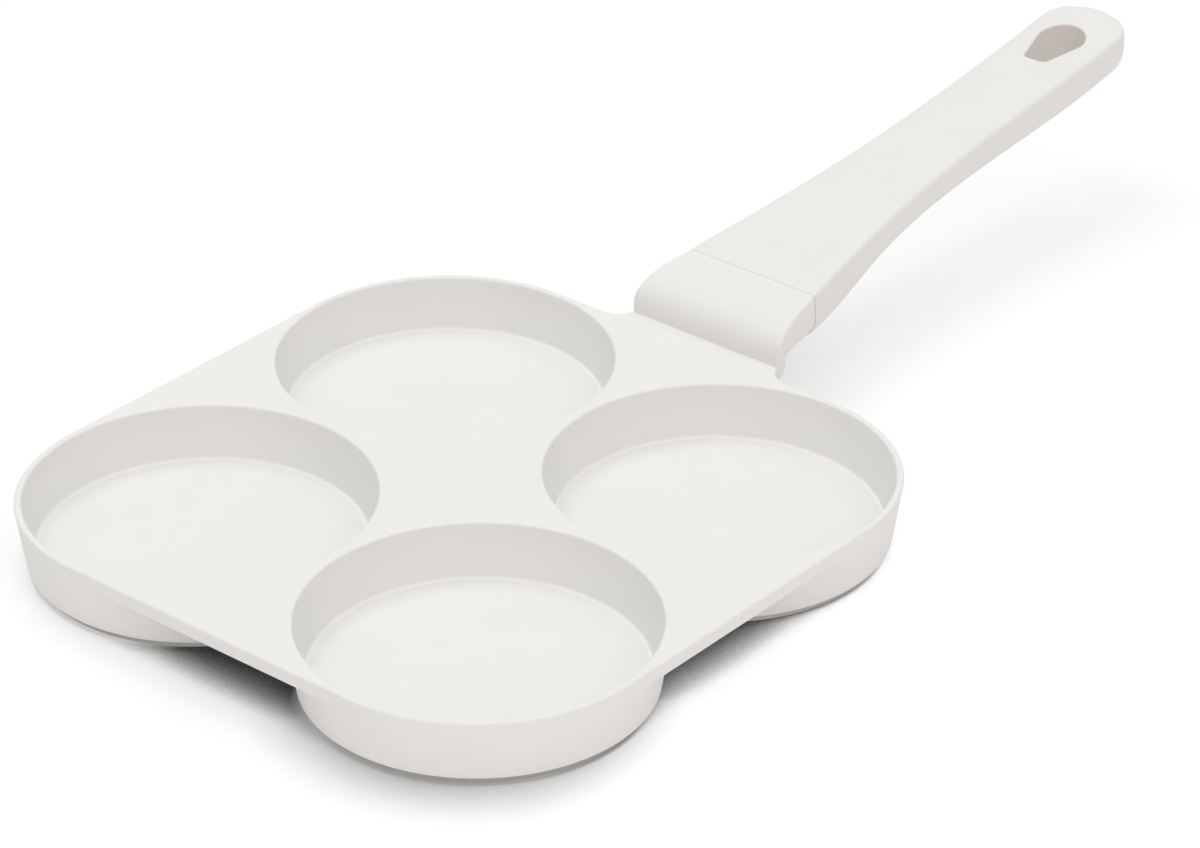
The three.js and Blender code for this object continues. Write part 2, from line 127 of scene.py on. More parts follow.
def arc(centre_r, centre_z, radius, start, end, steps):
    """Points of a profile on an arc, with the angles in degrees from the outward direction."""
    points = []
    for step in range(steps + 1):
        angle = math.radians(start + (end - start) * step / steps)
        points.append((centre_r + radius * math.cos(angle), centre_z + radius * math.sin(angle)))
    return points


def turn(profile, axis):
    bpy.ops.mesh.select_all(action="DESELECT")
    radius, z = profile[0]
    bpy.ops.mesh.primitive_circle_add(vertices=TURN_STEPS, radius=radius, location=(axis.x, axis.y, z))
    for next_radius, next_z in profile[1:]:
        bpy.ops.mesh.extrude_region_move(TRANSFORM_OT_translate={"value": (0, 0, next_z - z)})
        share = next_radius / radius
        bpy.ops.transform.resize(value=(share, share, 1), center_override=(axis.x, axis.y, next_z))
        radius, z = next_radius, next_z


def copy_to_other_cups():
    """Copies what is selected from the first cup to the other three, one after the other."""
    here = first_axis
    for name in CUP_NAMES[1:]:
        step = cup_axes[name] - here
        bpy.ops.mesh.duplicate_move(TRANSFORM_OT_translate={"value": (step.x, step.y, 0)})
        here = cup_axes[name]


print("a turned ring has", TURN_STEPS, "points, one each", 360 / TURN_STEPS, "degrees")

# %% [markdown]
# ## The casting: the hollow of a cup
# Each cup is shallow, with a drafted wall so that the casting leaves its mould, a small fillet
# round a flat floor and a small rounded lip. It could be cut with a boolean, but a turned skin keeps
# clean rings of faces that shade well, and a ring close beside each rounding keeps the next face
# flat. One hollow is turned and copied to the other three cups.

# %% Turn one hollow and copy it
PLATE_TOP, CUP_FLOOR_Z, MOUTH_RADIUS = 21.25 * MM, 4.95 * MM, 50 * MM
INNER_DRAFT = math.radians(10)
RIM_ROUND, LIP_STEPS = 0.8 * MM, 6
FLOOR_FILLET, FILLET_STEPS = 0.7 * MM, 8
SUPPORT = 0.2 * MM
BELT_Z = PLATE_TOP - RIM_ROUND
draft = math.degrees(INNER_DRAFT)
lip_r = (MOUTH_RADIUS - RIM_ROUND * math.tan(INNER_DRAFT)) + RIM_ROUND / math.cos(INNER_DRAFT)
fillet_z = CUP_FLOOR_Z + FLOOR_FILLET
wall_at_fillet = MOUTH_RADIUS - (PLATE_TOP - fillet_z) * math.tan(INNER_DRAFT)
fillet_r = wall_at_fillet - FLOOR_FILLET / math.cos(INNER_DRAFT)
lip = arc(lip_r, BELT_Z, RIM_ROUND, 90, 180 - draft, LIP_STEPS)
fillet = arc(fillet_r, fillet_z, FLOOR_FILLET, -draft, -90, FILLET_STEPS)


def between(first, second, along):
    """A point of a profile at a length along the line from the first point to the second."""
    span = math.dist(first, second)
    return tuple(a + (b - a) * along / span for a, b in zip(first, second))


hollow = [(lip_r + SUPPORT, PLATE_TOP), *lip]
hollow += [between(lip[-1], fillet[0], 2 * SUPPORT), between(fillet[0], lip[-1], 2 * SUPPORT)]
hollow += [*fillet, (fillet_r - 2 * SUPPORT, CUP_FLOOR_Z), (fillet_r / 2, CUP_FLOOR_Z)]
turn(hollow, first_axis)
bpy.ops.mesh.edge_face_add()
bpy.ops.mesh.select_all(action="SELECT")
copy_to_other_cups()
print("lip radius", round(lip_r / MM, 2), "floor radius", round(fillet_r / MM, 2))

# %% [markdown]
# ## The casting: the plate
# The plate's outline is a square whose round corners run round the cups. A plane at the plate's
# widest height gets its four corners rounded by a vertex bevel, with as many steps as a quarter of a
# cup has, so that rim and cup match. Operators work on what is selected, so a test picks points,
# edges or faces by their place, and the count is printed to show a wrong pick at once.

# %% Draw the outline of the plate
NEAR = 0.01 * MM
ROUND_PROFILE = 0.5


def pick(piece, kind, wanted):
    """Selects the points, edges or faces that a test accepts, and counts them."""
    bpy.ops.mesh.select_mode(type=kind)
    bpy.ops.mesh.select_all(action="DESELECT")
    skin = bmesh.from_edit_mesh(piece.data)
    parts = {"VERT": skin.verts, "EDGE": skin.edges, "FACE": skin.faces}[kind]
    picked = [part for part in parts if wanted(part)]
    for part in picked:
        part.select = True
    skin.select_flush_mode()
    bmesh.update_edit_mesh(piece.data)
    return len(picked)


def lies_at(part, z):
    return all(abs(point.co.z - z) < NEAR for point in part.verts)


def on_belt(part):
    return lies_at(part, BELT_Z)


half = CUP_OFF + RIM_RADIUS
bpy.ops.mesh.select_all(action="DESELECT")
bpy.ops.mesh.primitive_plane_add(size=2 * half, location=(PAN_X, 0, BELT_Z))
bpy.ops.mesh.bevel(offset=RIM_RADIUS, segments=TURN_STEPS // 4, profile=ROUND_PROFILE,
                   affect="VERTICES", clamp_overlap=False)
print("edges of the outline", pick(pan, "EDGE", on_belt))

# %% [markdown]
# Towards the handle the plate runs out into a tongue that carries the seat. The straight edge there
# is divided in four and its middle half is extruded. The tongue is then drawn on in short steps that
# narrow along a quarter ellipse, so that it ends round, out of sight under the seat.

# %% Draw out the tongue
TONGUE_HALF, TONGUE_END = 27.2 * MM, 11 * MM
FLARE, TONGUE_TUCK, TONGUE_STEPS = 7.5 * MM, 10 * MM, 8
SIDE_CUTS = 3
quarter = CUP_OFF / 2
edge_x = PAN_X + half
root = (edge_x, 0, BELT_Z)


def right_angle(steps):
    """Angles from 0 to 90 degrees in even steps."""
    return [math.pi / 2 * step / steps for step in range(steps + 1)]


def on_handle_side(edge, reach):
    ends = [point.co for point in edge.verts]
    return on_belt(edge) and all(abs(end.x - edge_x) < NEAR and abs(end.y) < reach for end in ends)


print("handle side edges", pick(pan, "EDGE", lambda edge: on_handle_side(edge, half)))
bpy.ops.mesh.subdivide(number_cuts=SIDE_CUTS)
print("tongue root edges", pick(pan, "EDGE", lambda edge: on_handle_side(edge, quarter + MM)))
bpy.ops.transform.resize(value=(1, TONGUE_HALF / quarter, 1), center_override=root)
bpy.ops.mesh.extrude_region_move(TRANSFORM_OT_translate={"value": (FLARE, 0, 0)})
reach, width = 0.0, TONGUE_HALF
for angle in right_angle(TONGUE_STEPS)[1:]:
    next_reach = TONGUE_TUCK * math.sin(angle)
    next_width = TONGUE_END + (TONGUE_HALF - TONGUE_END) * math.cos(angle)
    bpy.ops.mesh.extrude_region_move(TRANSFORM_OT_translate={"value": (next_reach - reach, 0, 0)})
    bpy.ops.transform.resize(value=(1, next_width / width, 1), center_override=root)
    reach, width = next_reach, next_width
print("tongue reaches", round((FLARE + reach) / MM, 2), "mm from the edge")

# %% [markdown]
# The plate flares into the tongue, so the two inner corners beside it are rounded as well. All faces
# at the widest height first become one, because a vertex bevel follows the edges that it finds.

# %% Round the inner corners
FLARE_STEPS = 10
CORNER_NEAR = 0.02 * MM


def at_inner_corner(point):
    corner = Vector((edge_x, math.copysign(TONGUE_HALF, point.co.y), BELT_Z))
    return (point.co - corner).length < CORNER_NEAR


print("outline faces", pick(pan, "FACE", on_belt))
bpy.ops.mesh.dissolve_faces()
print("inner corners", pick(pan, "VERT", at_inner_corner))
bpy.ops.mesh.bevel(offset=FLARE, segments=FLARE_STEPS, profile=ROUND_PROFILE, affect="VERTICES",
                   clamp_overlap=False)
pick(pan, "VERT", lambda point: abs(point.co.z - BELT_Z) < NEAR and point.co.x > edge_x)
bpy.ops.mesh.remove_doubles(threshold=CORNER_NEAR)

# %% [markdown]
# The upper edge of the plate is rounded with a run of insets, each a little further in and a little
# higher, so that the rounding follows the whole outline. The top is then filled between the outline
# and the four mouths. A narrow flat ring beside each rounding keeps the top flat when it is smoothed.

# %% Round the rim and close the top
RIM_STEPS = 6
print("belt faces", pick(pan, "FACE", on_belt))
reach, rise = 0.0, 0.0
for angle in right_angle(RIM_STEPS)[1:]:
    next_reach, next_rise = RIM_ROUND * (1 - math.cos(angle)), RIM_ROUND * math.sin(angle)
    bpy.ops.mesh.inset(thickness=next_reach - reach, depth=next_rise - rise)
    reach, rise = next_reach, next_rise
bpy.ops.mesh.inset(thickness=SUPPORT, depth=0)
bpy.ops.mesh.delete(type="ONLY_FACE")


def open_at(z):
    return lambda edge: edge.is_boundary and lies_at(edge, z)


print("edges round the top", pick(pan, "EDGE", open_at(PLATE_TOP)))
bpy.ops.mesh.fill(use_beauty=True)

# %% [markdown]
# ## The casting: the outside
# Below its widest height the plate's edge leans in with the same draft as the outside of the cups, so
# the wall of a cup and the edge of the plate are one surface round each corner. A face across the
# outline is inset and sunk to the plate's underside, and only its sides are kept.

# %% Draw the plate's edge down
PLATE_UNDER = 16.65 * MM
OUTER_DRAFT = math.radians(8.4)
drop = BELT_Z - PLATE_UNDER
lean_in = drop * math.tan(OUTER_DRAFT)
support_in = SUPPORT * math.tan(OUTER_DRAFT)
print("belt edges", pick(pan, "EDGE", open_at(BELT_Z)))
bpy.ops.mesh.edge_face_add()
belt_face = next(face for face in bmesh.from_edit_mesh(pan.data).faces if face.select)
down = 1 if belt_face.normal.z < 0 else -1
bpy.ops.mesh.inset(thickness=support_in, depth=down * SUPPORT)
bpy.ops.mesh.inset(thickness=lean_in - support_in, depth=down * (drop - SUPPORT))
bpy.ops.mesh.delete(type="ONLY_FACE")

# %% [markdown]
# Each cup ends in a rounded foot with a shallow recess for its disc. The outside of one cup is turned
# and copied, and the plate's underside is filled in between the cups, which leaves a closed casting.

# %% Turn the outside of the cups and close the underside
DISC_PROUD = 2.4 * MM
FOOT_ROUND, FOOT_STEPS = 0.8 * MM, 5
RECESS_RADIUS, RECESS_ROOF = 47.72 * MM, 3.1 * MM
WALL_MERGE = 0.03 * MM
SMOOTH_ANGLE = 35
under_r = RIM_RADIUS - lean_in
foot_z = DISC_PROUD + FOOT_ROUND
foot_r = under_r - (PLATE_UNDER - foot_z) * math.tan(OUTER_DRAFT) - FOOT_ROUND / math.cos(OUTER_DRAFT)
foot = arc(foot_r, foot_z, FOOT_ROUND, -math.degrees(OUTER_DRAFT), -90, FOOT_STEPS)
outside = [(under_r, PLATE_UNDER), between(foot[0], (under_r, PLATE_UNDER), 2 * SUPPORT), *foot]
outside += [(foot_r - SUPPORT, DISC_PROUD), (RECESS_RADIUS, DISC_PROUD), (RECESS_RADIUS, RECESS_ROOF)]
turn(outside, first_axis)
bpy.ops.mesh.edge_face_add()
bpy.ops.mesh.select_linked()
copy_to_other_cups()
bpy.ops.mesh.select_all(action="SELECT")
bpy.ops.mesh.remove_doubles(threshold=WALL_MERGE)


def is_open(edge):
    return edge.is_boundary


def make_active(piece):
    nothing_selected()
    piece.select_set(True)
    bpy.context.view_layer.objects.active = piece


def end_piece(piece, smooth_angle=SMOOTH_ANGLE):
    """Turns the faces outwards, smooths all but the sharp edges and leaves edit mode."""
    bpy.ops.mesh.select_all(action="SELECT")
    bpy.ops.mesh.normals_make_consistent(inside=False)
    make_active(piece)
    bpy.ops.object.shade_smooth_by_angle(angle=math.radians(smooth_angle))
    print(piece.name, len(piece.data.vertices), "points", len(piece.data.polygons), "faces")


print("edges round the underside", pick(pan, "EDGE", is_open))
bpy.ops.mesh.fill(use_beauty=True)
print("open edges left", pick(pan, "EDGE", is_open))
end_piece(pan)

# %% [markdown]
# Under the plate, a short web joins each cup to its neighbour where their walls nearly touch, as a
# founder would add to a thin casting. A web is a cube with its lower edges bevelled.

# %% Make the webs between the cups
WEB_LENGTH, WEB_WIDTH, WEB_DEPTH = 24 * MM, 7.7 * MM, 11 * MM
WEB_OVERLAP, WEB_ROUND, WEB_ROUND_STEPS = 2 * MM, 1 * MM, 4
web_low, web_high = PLATE_UNDER - WEB_DEPTH, PLATE_UNDER + WEB_OVERLAP
webs = start_piece("webs")
bpy.ops.mesh.select_mode(type="EDGE")


def add_web(x, y, size_x, size_y):
    bpy.ops.mesh.select_all(action="DESELECT")
    bpy.ops.mesh.primitive_cube_add(size=1, location=(x, y, (web_low + web_high) / 2),
                                    scale=(size_x, size_y, web_high - web_low))
    skin = bmesh.from_edit_mesh(webs.data)
    for edge in skin.edges:
        edge.select = edge.select and lies_at(edge, web_low)
    skin.select_flush_mode()
    bmesh.update_edit_mesh(webs.data)
    bpy.ops.mesh.bevel(offset=WEB_ROUND, segments=WEB_ROUND_STEPS, profile=ROUND_PROFILE,
                       affect="EDGES")


for side in (-1, 1):
    add_web(PAN_X, side * CUP_OFF, WEB_WIDTH, WEB_LENGTH)
    add_web(PAN_X + side * CUP_OFF, 0, WEB_LENGTH, WEB_WIDTH)
end_piece(webs)

# %% [markdown]
# A web is wider than the gap that it fills, so four cores, each halfway into a cup's wall, are cut
# out of the webs. A boolean takes one closed shape out of another. It is applied at once and its tool
# is thrown away, so the piece that stays is a plain mesh, and the webs then join the casting.

# %% Cut the cups out of the webs
HALF_WALL, CORE_MARGIN = 1.1 * MM, 1 * MM


def cut(piece, tool):
    make_active(piece)
    boolean = piece.modifiers.new("cut", "BOOLEAN")
    boolean.operation = "DIFFERENCE"
    boolean.solver = "EXACT"
    boolean.object = tool
    bpy.ops.object.modifier_apply(modifier=boolean.name)
    bpy.data.objects.remove(tool)


def join_to(piece, other):
    make_active(piece)
    other.select_set(True)
    bpy.ops.object.join()
    bpy.ops.object.shade_smooth_by_angle(angle=math.radians(SMOOTH_ANGLE))


core_profile = [(MOUTH_RADIUS + HALF_WALL - (PLATE_TOP - z) * math.tan(INNER_DRAFT), z)
                for z in (web_low - CORE_MARGIN, web_high + CORE_MARGIN)]
cores = start_piece("cores")
for axis in cup_axes.values():
    turn(core_profile, axis)
    bpy.ops.mesh.edge_face_add()
pick(cores, "EDGE", is_open)
bpy.ops.mesh.edge_face_add()
end_piece(cores)
cut(webs, cores)
join_to(pan, webs)
print("casting with webs", len(pan.data.polygons), "faces")

# %% [markdown]
# ## The handle's section
# Seat and grip share one kind of section: a nearly flat top with rounded edges, short upright sides
# and a boat-shaped underside. A section is a ring of points, and a form is a ring that is extruded
# from station to station while each point moves to its new place. That is how a long moulded form is
# drawn by hand too, only the places come from the section's few sizes.

# %% Section of the handle
TOP_STEPS, EDGE_STEPS, LOWER_STEPS = 10, 7, 22
SIDE_MIN = 0.2
CROWN_ROUNDS = 4


def handle_section(half, depth, edge, shoulder, crown, power):
    """Ring of points, each as its place across and its depth below the top."""
    slope = 0.0
    for _ in range(CROWN_ROUNDS):
        flat = half - edge * (1 - math.sin(slope))
        slope = math.atan(2 * crown * flat / half ** 2)
    right = []
    for step in range(TOP_STEPS):
        across = flat * step / TOP_STEPS
        right.append((across, crown * (across / half) ** 2))
    centre = flat - edge * math.sin(slope), crown * (flat / half) ** 2 + edge * math.cos(slope)
    for step in range(EDGE_STEPS + 1):
        angle = slope + (math.pi / 2 - slope) * step / EDGE_STEPS
        right.append((centre[0] + edge * math.sin(angle), centre[1] - edge * math.cos(angle)))
    waterline = max(shoulder, centre[1] + edge * SIDE_MIN)
    for angle in right_angle(LOWER_STEPS):
        across = half * max(math.cos(angle), 0) ** (2 / power)
        right.append((across, waterline + (depth - waterline) * math.sin(angle) ** (2 / power)))
    right[-1] = (0, depth)
    return [(-across, below) for across, below in right] + right[-2:0:-1]


print("points in each section", 2 * (TOP_STEPS + EDGE_STEPS + LOWER_STEPS + 1))

# %% [markdown]
# A loft joins the sections into one skin. Bridging separate rings would do the same, but a ring that is
# extruded keeps its points in order, so the skin can't twist. Two small helpers come with it, which
# blend one size into another along the way.

# %% Loft through sections
def loft(piece, rings, place=Matrix.Identity(4)):
    """Extrudes a ring through the given rings. The point numbers keep the points in order."""
    bpy.ops.mesh.select_all(action="DESELECT")
    bpy.ops.mesh.primitive_circle_add(vertices=len(rings[0]), radius=MM, fill_type="NGON")
    skin = bmesh.from_edit_mesh(piece.data)
    layer = skin.verts.layers.int.get("number") or skin.verts.layers.int.new("number")
    circle = [point for point in skin.verts if point.select]
    for number, point in enumerate(sorted(circle, key=lambda v: math.atan2(v.co.y, v.co.x))):
        point[layer] = number
    for station, ring in enumerate(rings):
        if station:
            bpy.ops.mesh.extrude_region_move()
        skin = bmesh.from_edit_mesh(piece.data)
        layer = skin.verts.layers.int["number"]
        for point in skin.verts:
            if point.select:
                point.co = place @ Vector(ring[point[layer]])
        skin.normal_update()
        bmesh.update_edit_mesh(piece.data)


def mix(first, second, share):
    return first + (second - first) * share


def smooth(x, low, high):
    share = min(max((x - low) / (high - low), 0), 1)
    return share * share * (3 - 2 * share)


print("a smooth step is", [round(smooth(x, 0, 4), 3) for x in range(5)], "at its quarters")

# %% [markdown]
# ## The casting: the handle seat
# A tall rounded nose rises from the plate to meet the grip. Seen from the side it is part of a
# superellipse, steep at its foot and nearly flat where the grip starts. Its width draws in towards
# the seam, and its front corners are rounded. The last edge is rounded too and its sides stand back a
# little, so that the seam is a faint line on top and an open groove down the sides.

# %% Sections of the seat
TILT = math.radians(6.8)
SEAT_START, SEAM_X, SEAM_TOP = 109.1 * MM, 131.25 * MM, 35.05 * MM
SEAT_WIDTH, SEAM_WIDTH, SEAM_DEPTH = 55.2 * MM, 47.3 * MM, 18.2 * MM
SEAT_DROP, SEAT_EDGE, SEAT_CORNER, SHOULDER = 0.42 * MM, 1 * MM, 1 * MM, 4.6 * MM
EDGE_SHARE, SHOULDER_SHARE = 0.25, 0.33
SEAT_FRONT_POWER, SEAM_POWER, SQUARE_SHARE = 10, 3, 0.24
SEAM_TOP_SHARE = 0.3
GROOVE_START, GROOVE_END = SEAT_EDGE / 3, SEAT_EDGE * 1.3
seat_under = SEAM_TOP - SEAT_DROP - SEAM_DEPTH * math.cos(TILT)


def seat_ring(x, top, shrink=0.0, side_gap=0.0):
    into = max(x - SEAT_START, 0)
    share = into / (SEAM_X - SEAT_START)
    tilt = TILT * share
    depth = (top - seat_under) / math.cos(tilt) - (1 + SEAM_TOP_SHARE) * shrink
    to_front = max(1 - into / SEAT_CORNER, 0)
    corner = SEAT_CORNER * (1 - math.sqrt(1 - to_front ** 2))
    section = handle_section(
        mix(SEAT_WIDTH, SEAM_WIDTH, share) / 2 - shrink - corner, depth,
        min(SEAT_EDGE, depth * EDGE_SHARE), min(SHOULDER, depth * SHOULDER_SHARE), 0,
        mix(SEAT_FRONT_POWER, SEAM_POWER, smooth(share, 0, SQUARE_SHARE)))
    top -= SEAM_TOP_SHARE * shrink
    ring = []
    for across, below in section:
        back = side_gap * smooth(below, GROOVE_START, GROOVE_END)
        ring.append((x + below * math.sin(tilt) - back, across, top - below * math.cos(tilt)))
    return ring


def seat_top(x):
    return SEAM_TOP - SEAT_DROP + (x - SEAM_X) * math.tan(TILT)


print("seat underside at", round(seat_under / MM, 2), "top at the seam", round(seat_top(SEAM_X) / MM, 2))

# %% [markdown]
# The seat is lofted from the foot of its nose to the seam. The stations lie close together at the
# foot, where the nose turns up, and the last few round the edge at the seam. A bevel could round that
# edge too, but it would cut the sides as deep as the top.

# %% Loft the seat
NOSE, NOSE_POWER, NOSE_SINK, NOSE_STEPS = 18.95 * MM, 3.1, 0.5 * MM, 28
SEAM_ROUND, SEAM_CLOSER, SEAM_SIDE_GAP, SEAM_STEPS = 0.2 * MM, 0.29 * MM, 0.18 * MM, 4
nose_end = SEAT_START + NOSE
seat_rings = []
for angle in right_angle(NOSE_STEPS):
    x = nose_end - NOSE * max(math.cos(angle), 0) ** (2 / NOSE_POWER)
    rise = math.sin(angle) ** (2 / NOSE_POWER)
    seat_rings.append(seat_ring(x, mix(PLATE_TOP - NOSE_SINK, seat_top(x), rise)))
for angle in right_angle(SEAM_STEPS):
    x = SEAM_X + SEAM_CLOSER - SEAM_ROUND * (1 - math.sin(angle))
    seat_rings.append(seat_ring(x, seat_top(x), SEAM_ROUND * (1 - math.cos(angle)), SEAM_SIDE_GAP))
seat = start_piece("seat")
loft(seat, seat_rings, Matrix.Translation((PAN_X, 0, 0)))
end_piece(seat)
join_to(pan, seat)
print("seat stations", len(seat_rings), "points in each", len(seat_rings[0]))

# %% [markdown]
# A flat tang runs on from the seat into the grip. It is out of sight, and it is what the screw bites.
# It is lofted from rounded rectangles in the handle's own frame, which starts at the top of the seam
# and leans up by the handle's tilt. A boolean drills it for the screw.

# %% Make the tang and drill it
HANDLE = Matrix.Translation((PAN_X + SEAM_X, 0, SEAM_TOP)) @ Matrix.Rotation(-TILT, 4, "Y")
TANG_WIDTH, TANG_THICKNESS, TANG_LENGTH = 26 * MM, 6 * MM, 34 * MM
TANG_ROOT, TANG_COVER, TANG_CORNER, TANG_END = 8 * MM, 3.2 * MM, 2 * MM, 0.6 * MM
SCREW_PLACE, SCREW_HOLE = 14 * MM, 2.8 * MM
DRILL_LOW, DRILL_HIGH = -15 * MM, 2 * MM
BAR_STEPS, BORE_STEPS = 6, 48


def bar_ring(x, gap):
    """Rounded rectangle across the handle at a place along it, with a gap round the tang."""
    radius = TANG_CORNER + gap
    reach_y = TANG_WIDTH / 2 + gap - radius
    high, low = -TANG_COVER + gap - radius, -TANG_COVER - TANG_THICKNESS - gap + radius
    corners = [(reach_y, high), (-reach_y, high), (-reach_y, low), (reach_y, low)]
    points = []
    for corner, (y, z) in enumerate(corners):
        for step in range(BAR_STEPS + 1):
            angle = math.radians(90 * corner + 90 * step / BAR_STEPS)
            points.append((x, y + radius * math.cos(angle), z + radius * math.sin(angle)))
    return points


def round_ring(radius, z):
    """Circle round the screw's axis at a height in the handle's frame."""
    angles = [2 * math.pi * step / BORE_STEPS for step in range(BORE_STEPS)]
    return [(SCREW_PLACE + radius * math.cos(angle), radius * math.sin(angle), z) for angle in angles]


def cutter(name, rings):
    tool = start_piece(name)
    loft(tool, rings, HANDLE)
    bpy.ops.mesh.select_all(action="SELECT")
    bpy.ops.mesh.normals_make_consistent(inside=False)
    nothing_selected()
    return tool


tang = start_piece("tang")
loft(tang, [bar_ring(-TANG_ROOT, 0), bar_ring(TANG_LENGTH - TANG_END, 0),
            bar_ring(TANG_LENGTH, -TANG_END)], HANDLE)
end_piece(tang)
cut(tang, cutter("drill", [round_ring(SCREW_HOLE, DRILL_LOW), round_ring(SCREW_HOLE, DRILL_HIGH)]))
join_to(pan, tang)
print("casting", len(pan.data.polygons), "faces")

# %% [markdown]
# ## The grip
# The grip is a moulding of pale heat-proof plastic. It starts as wide as the seat, bellies out below
# just behind the seam, draws in to a waist, grows deeper in the palm and lifts a little to a round
# tip. No one formula follows such a line, so its half width, its depth and its lift are given in mm
# at a few stations, as on a boat's plan, and a smooth curve is drawn through them.

# %% Lines of the grip
HALF_WIDTHS = [(0, 23.75), (30, 19.51), (60, 16.53), (90, 15.06), (120, 14.73), (150, 15.05),
               (181, 15.17)]
DEPTHS = [(0, 19.1), (8, 20), (16, 20), (24, 19.2), (36, 17), (50, 15.5), (70, 15.65),
          (100, 17.05), (140, 18.6), (181, 18.7)]
PALM = 110 * MM
LIFTS = [(0, -0.33), (30, 0.58), (60, 1.29), (90, 1.57), (120, 1.38), (150, 1.35), (181, 2.42)]


def drawn_through(stations, x):
    """Size in metres at a place along the grip, on a smooth curve through its stations in mm."""
    x /= MM
    spot = 0
    while spot < len(stations) - 2 and x > stations[spot + 1][0]:
        spot += 1

    def slope(number):
        before, after = stations[max(number - 1, 0)], stations[min(number + 1, len(stations) - 1)]
        return (after[1] - before[1]) / (after[0] - before[0])

    (start, size), (end, next_size) = stations[spot], stations[spot + 1]
    span = end - start
    t = (x - start) / span
    curve = (1 - t) ** 2 * ((1 + 2 * t) * size + t * span * slope(spot))
    curve += t ** 2 * ((3 - 2 * t) * next_size - (1 - t) * span * slope(spot + 1))
    return curve * MM


print("half width at the palm", round(drawn_through(HALF_WIDTHS, PALM) / MM, 2), "mm")

# %% [markdown]
# The sections are lofted as the seat's were. At the seam the first edge is rounded, and at the tip
# the sections lie close together, because the form turns fastest there.

# %% Loft the outer form of the grip
GRIP_LENGTH, TAPER_LENGTH = 180.98 * MM, 96 * MM
GRIP_EDGE, GRIP_CROWN, SEAM_GAP, GRIP_POWER = 1.8 * MM, 1.6 * MM, 0.3 * MM, 2.5
TIP_ROUND, TIP_BLUNT, TIP_PLAN_POWER, TIP_SIDE_POWER = 11.2 * MM, 0.12, 2, 5
GRIP_STEPS, TIP_STEPS = 84, 26
tip_start = GRIP_LENGTH - TIP_ROUND


def tip_share(into, power):
    return TIP_BLUNT + (1 - TIP_BLUNT) * max(1 - into ** power, 0) ** (1 / power)


def grip_ring(x, shrink=0.0):
    into = max((x - tip_start) / TIP_ROUND, 0)
    plan, side = tip_share(into, TIP_PLAN_POWER), tip_share(into, TIP_SIDE_POWER)
    along = smooth(x, 0, TAPER_LENGTH)
    section = handle_section(
        drawn_through(HALF_WIDTHS, x) * plan - shrink,
        drawn_through(DEPTHS, x) * side - (1 + SEAM_TOP_SHARE) * shrink,
        mix(SEAT_EDGE, GRIP_EDGE, along) * min(plan, side), SHOULDER * side,
        GRIP_CROWN * along * side, mix(SEAM_POWER, GRIP_POWER, along))
    top = drawn_through(LIFTS, x) - SHOULDER * (1 - side) - SEAM_TOP_SHARE * shrink
    return [(x, across, top - below) for across, below in section]


grip_rings = []
for angle in right_angle(SEAM_STEPS):
    grip_rings.append(grip_ring(SEAM_GAP + SEAM_ROUND * (1 - math.cos(angle)),
                                SEAM_ROUND * (1 - math.sin(angle))))
for step in range(1, GRIP_STEPS):
    grip_rings.append(grip_ring(mix(SEAM_GAP + SEAM_ROUND, tip_start, step / GRIP_STEPS)))
for angle in right_angle(TIP_STEPS):
    grip_rings.append(grip_ring(tip_start + TIP_ROUND * math.sin(angle)))
grip = start_piece("grip_moulding")
loft(grip, grip_rings, HANDLE)
end_piece(grip)

# %% [markdown]
# Three cuts finish the form: the socket for the tang, the way in for the screw from below, and the
# hole to hang the pan by. The first two are hidden, so plain booleans do. The way in is wide for the
# screw's head up to the wall that the washers lie on, and narrow for its shank from there.

# %% Cut the socket and the way in for the screw
FIT_GAP, SOCKET_START = 0.3 * MM, -5 * MM
WASHER_SEAT, COUNTERBORE = 11.7 * MM, 5.4 * MM
BELOW_GRIP = -26 * MM
cut(grip, cutter("socket", [bar_ring(SOCKET_START, FIT_GAP),
                            bar_ring(TANG_LENGTH + FIT_GAP, FIT_GAP)]))
way_in = [(COUNTERBORE, BELOW_GRIP), (COUNTERBORE, -WASHER_SEAT), (SCREW_HOLE, -WASHER_SEAT),
          (SCREW_HOLE, -TANG_COVER - TANG_THICKNESS / 2)]
cut(grip, cutter("way_in", [round_ring(radius, z) for radius, z in way_in]))
print("grip with socket", len(grip.data.polygons), "faces")

# %% [markdown]
# The hanging hole is wide and round towards the tip and narrow towards the pan: a large arc and two
# small ones, joined by straight lines that touch them. The rims are rounded afterwards, so the cut is
# wider than the hole by the size of that rounding.

# %% Cut the hanging hole a little wide
HOLE_LENGTH, HOLE_WIDTH, HOLE_NARROW = 23 * MM, 15.6 * MM, 9 * MM
HOLE_CORNER, HOLE_TO_TIP, HOLE_RIM = 2.6 * MM, 13.6 * MM, 0.5 * MM
HOLE_STEPS, HOLE_CORNER_STEPS = 40, 10
HOLE_CUT = (-30 * MM, 8 * MM)
big = HOLE_WIDTH / 2
hole_x = GRIP_LENGTH - HOLE_TO_TIP - big
small_x, small_y = big - HOLE_LENGTH + HOLE_CORNER, HOLE_NARROW / 2 - HOLE_CORNER
touch = math.atan2(small_y, small_x) - math.acos((big - HOLE_CORNER) / math.hypot(small_x, small_y))


def hole_outline(wider):
    """Outline of the hole in the handle's frame, drawn wider by a margin."""
    arcs = [(0, 0, big, -touch, touch, HOLE_STEPS),
            (small_x, small_y, HOLE_CORNER, touch, math.pi, HOLE_CORNER_STEPS),
            (small_x, -small_y, HOLE_CORNER, math.pi, 2 * math.pi - touch, HOLE_CORNER_STEPS)]
    points = []
    for x, y, radius, start, end, steps in arcs:
        for step in range(steps + 1):
            angle = mix(start, end, step / steps)
            points.append((hole_x + x + (radius + wider) * math.cos(angle),
                           y + (radius + wider) * math.sin(angle)))
    return points


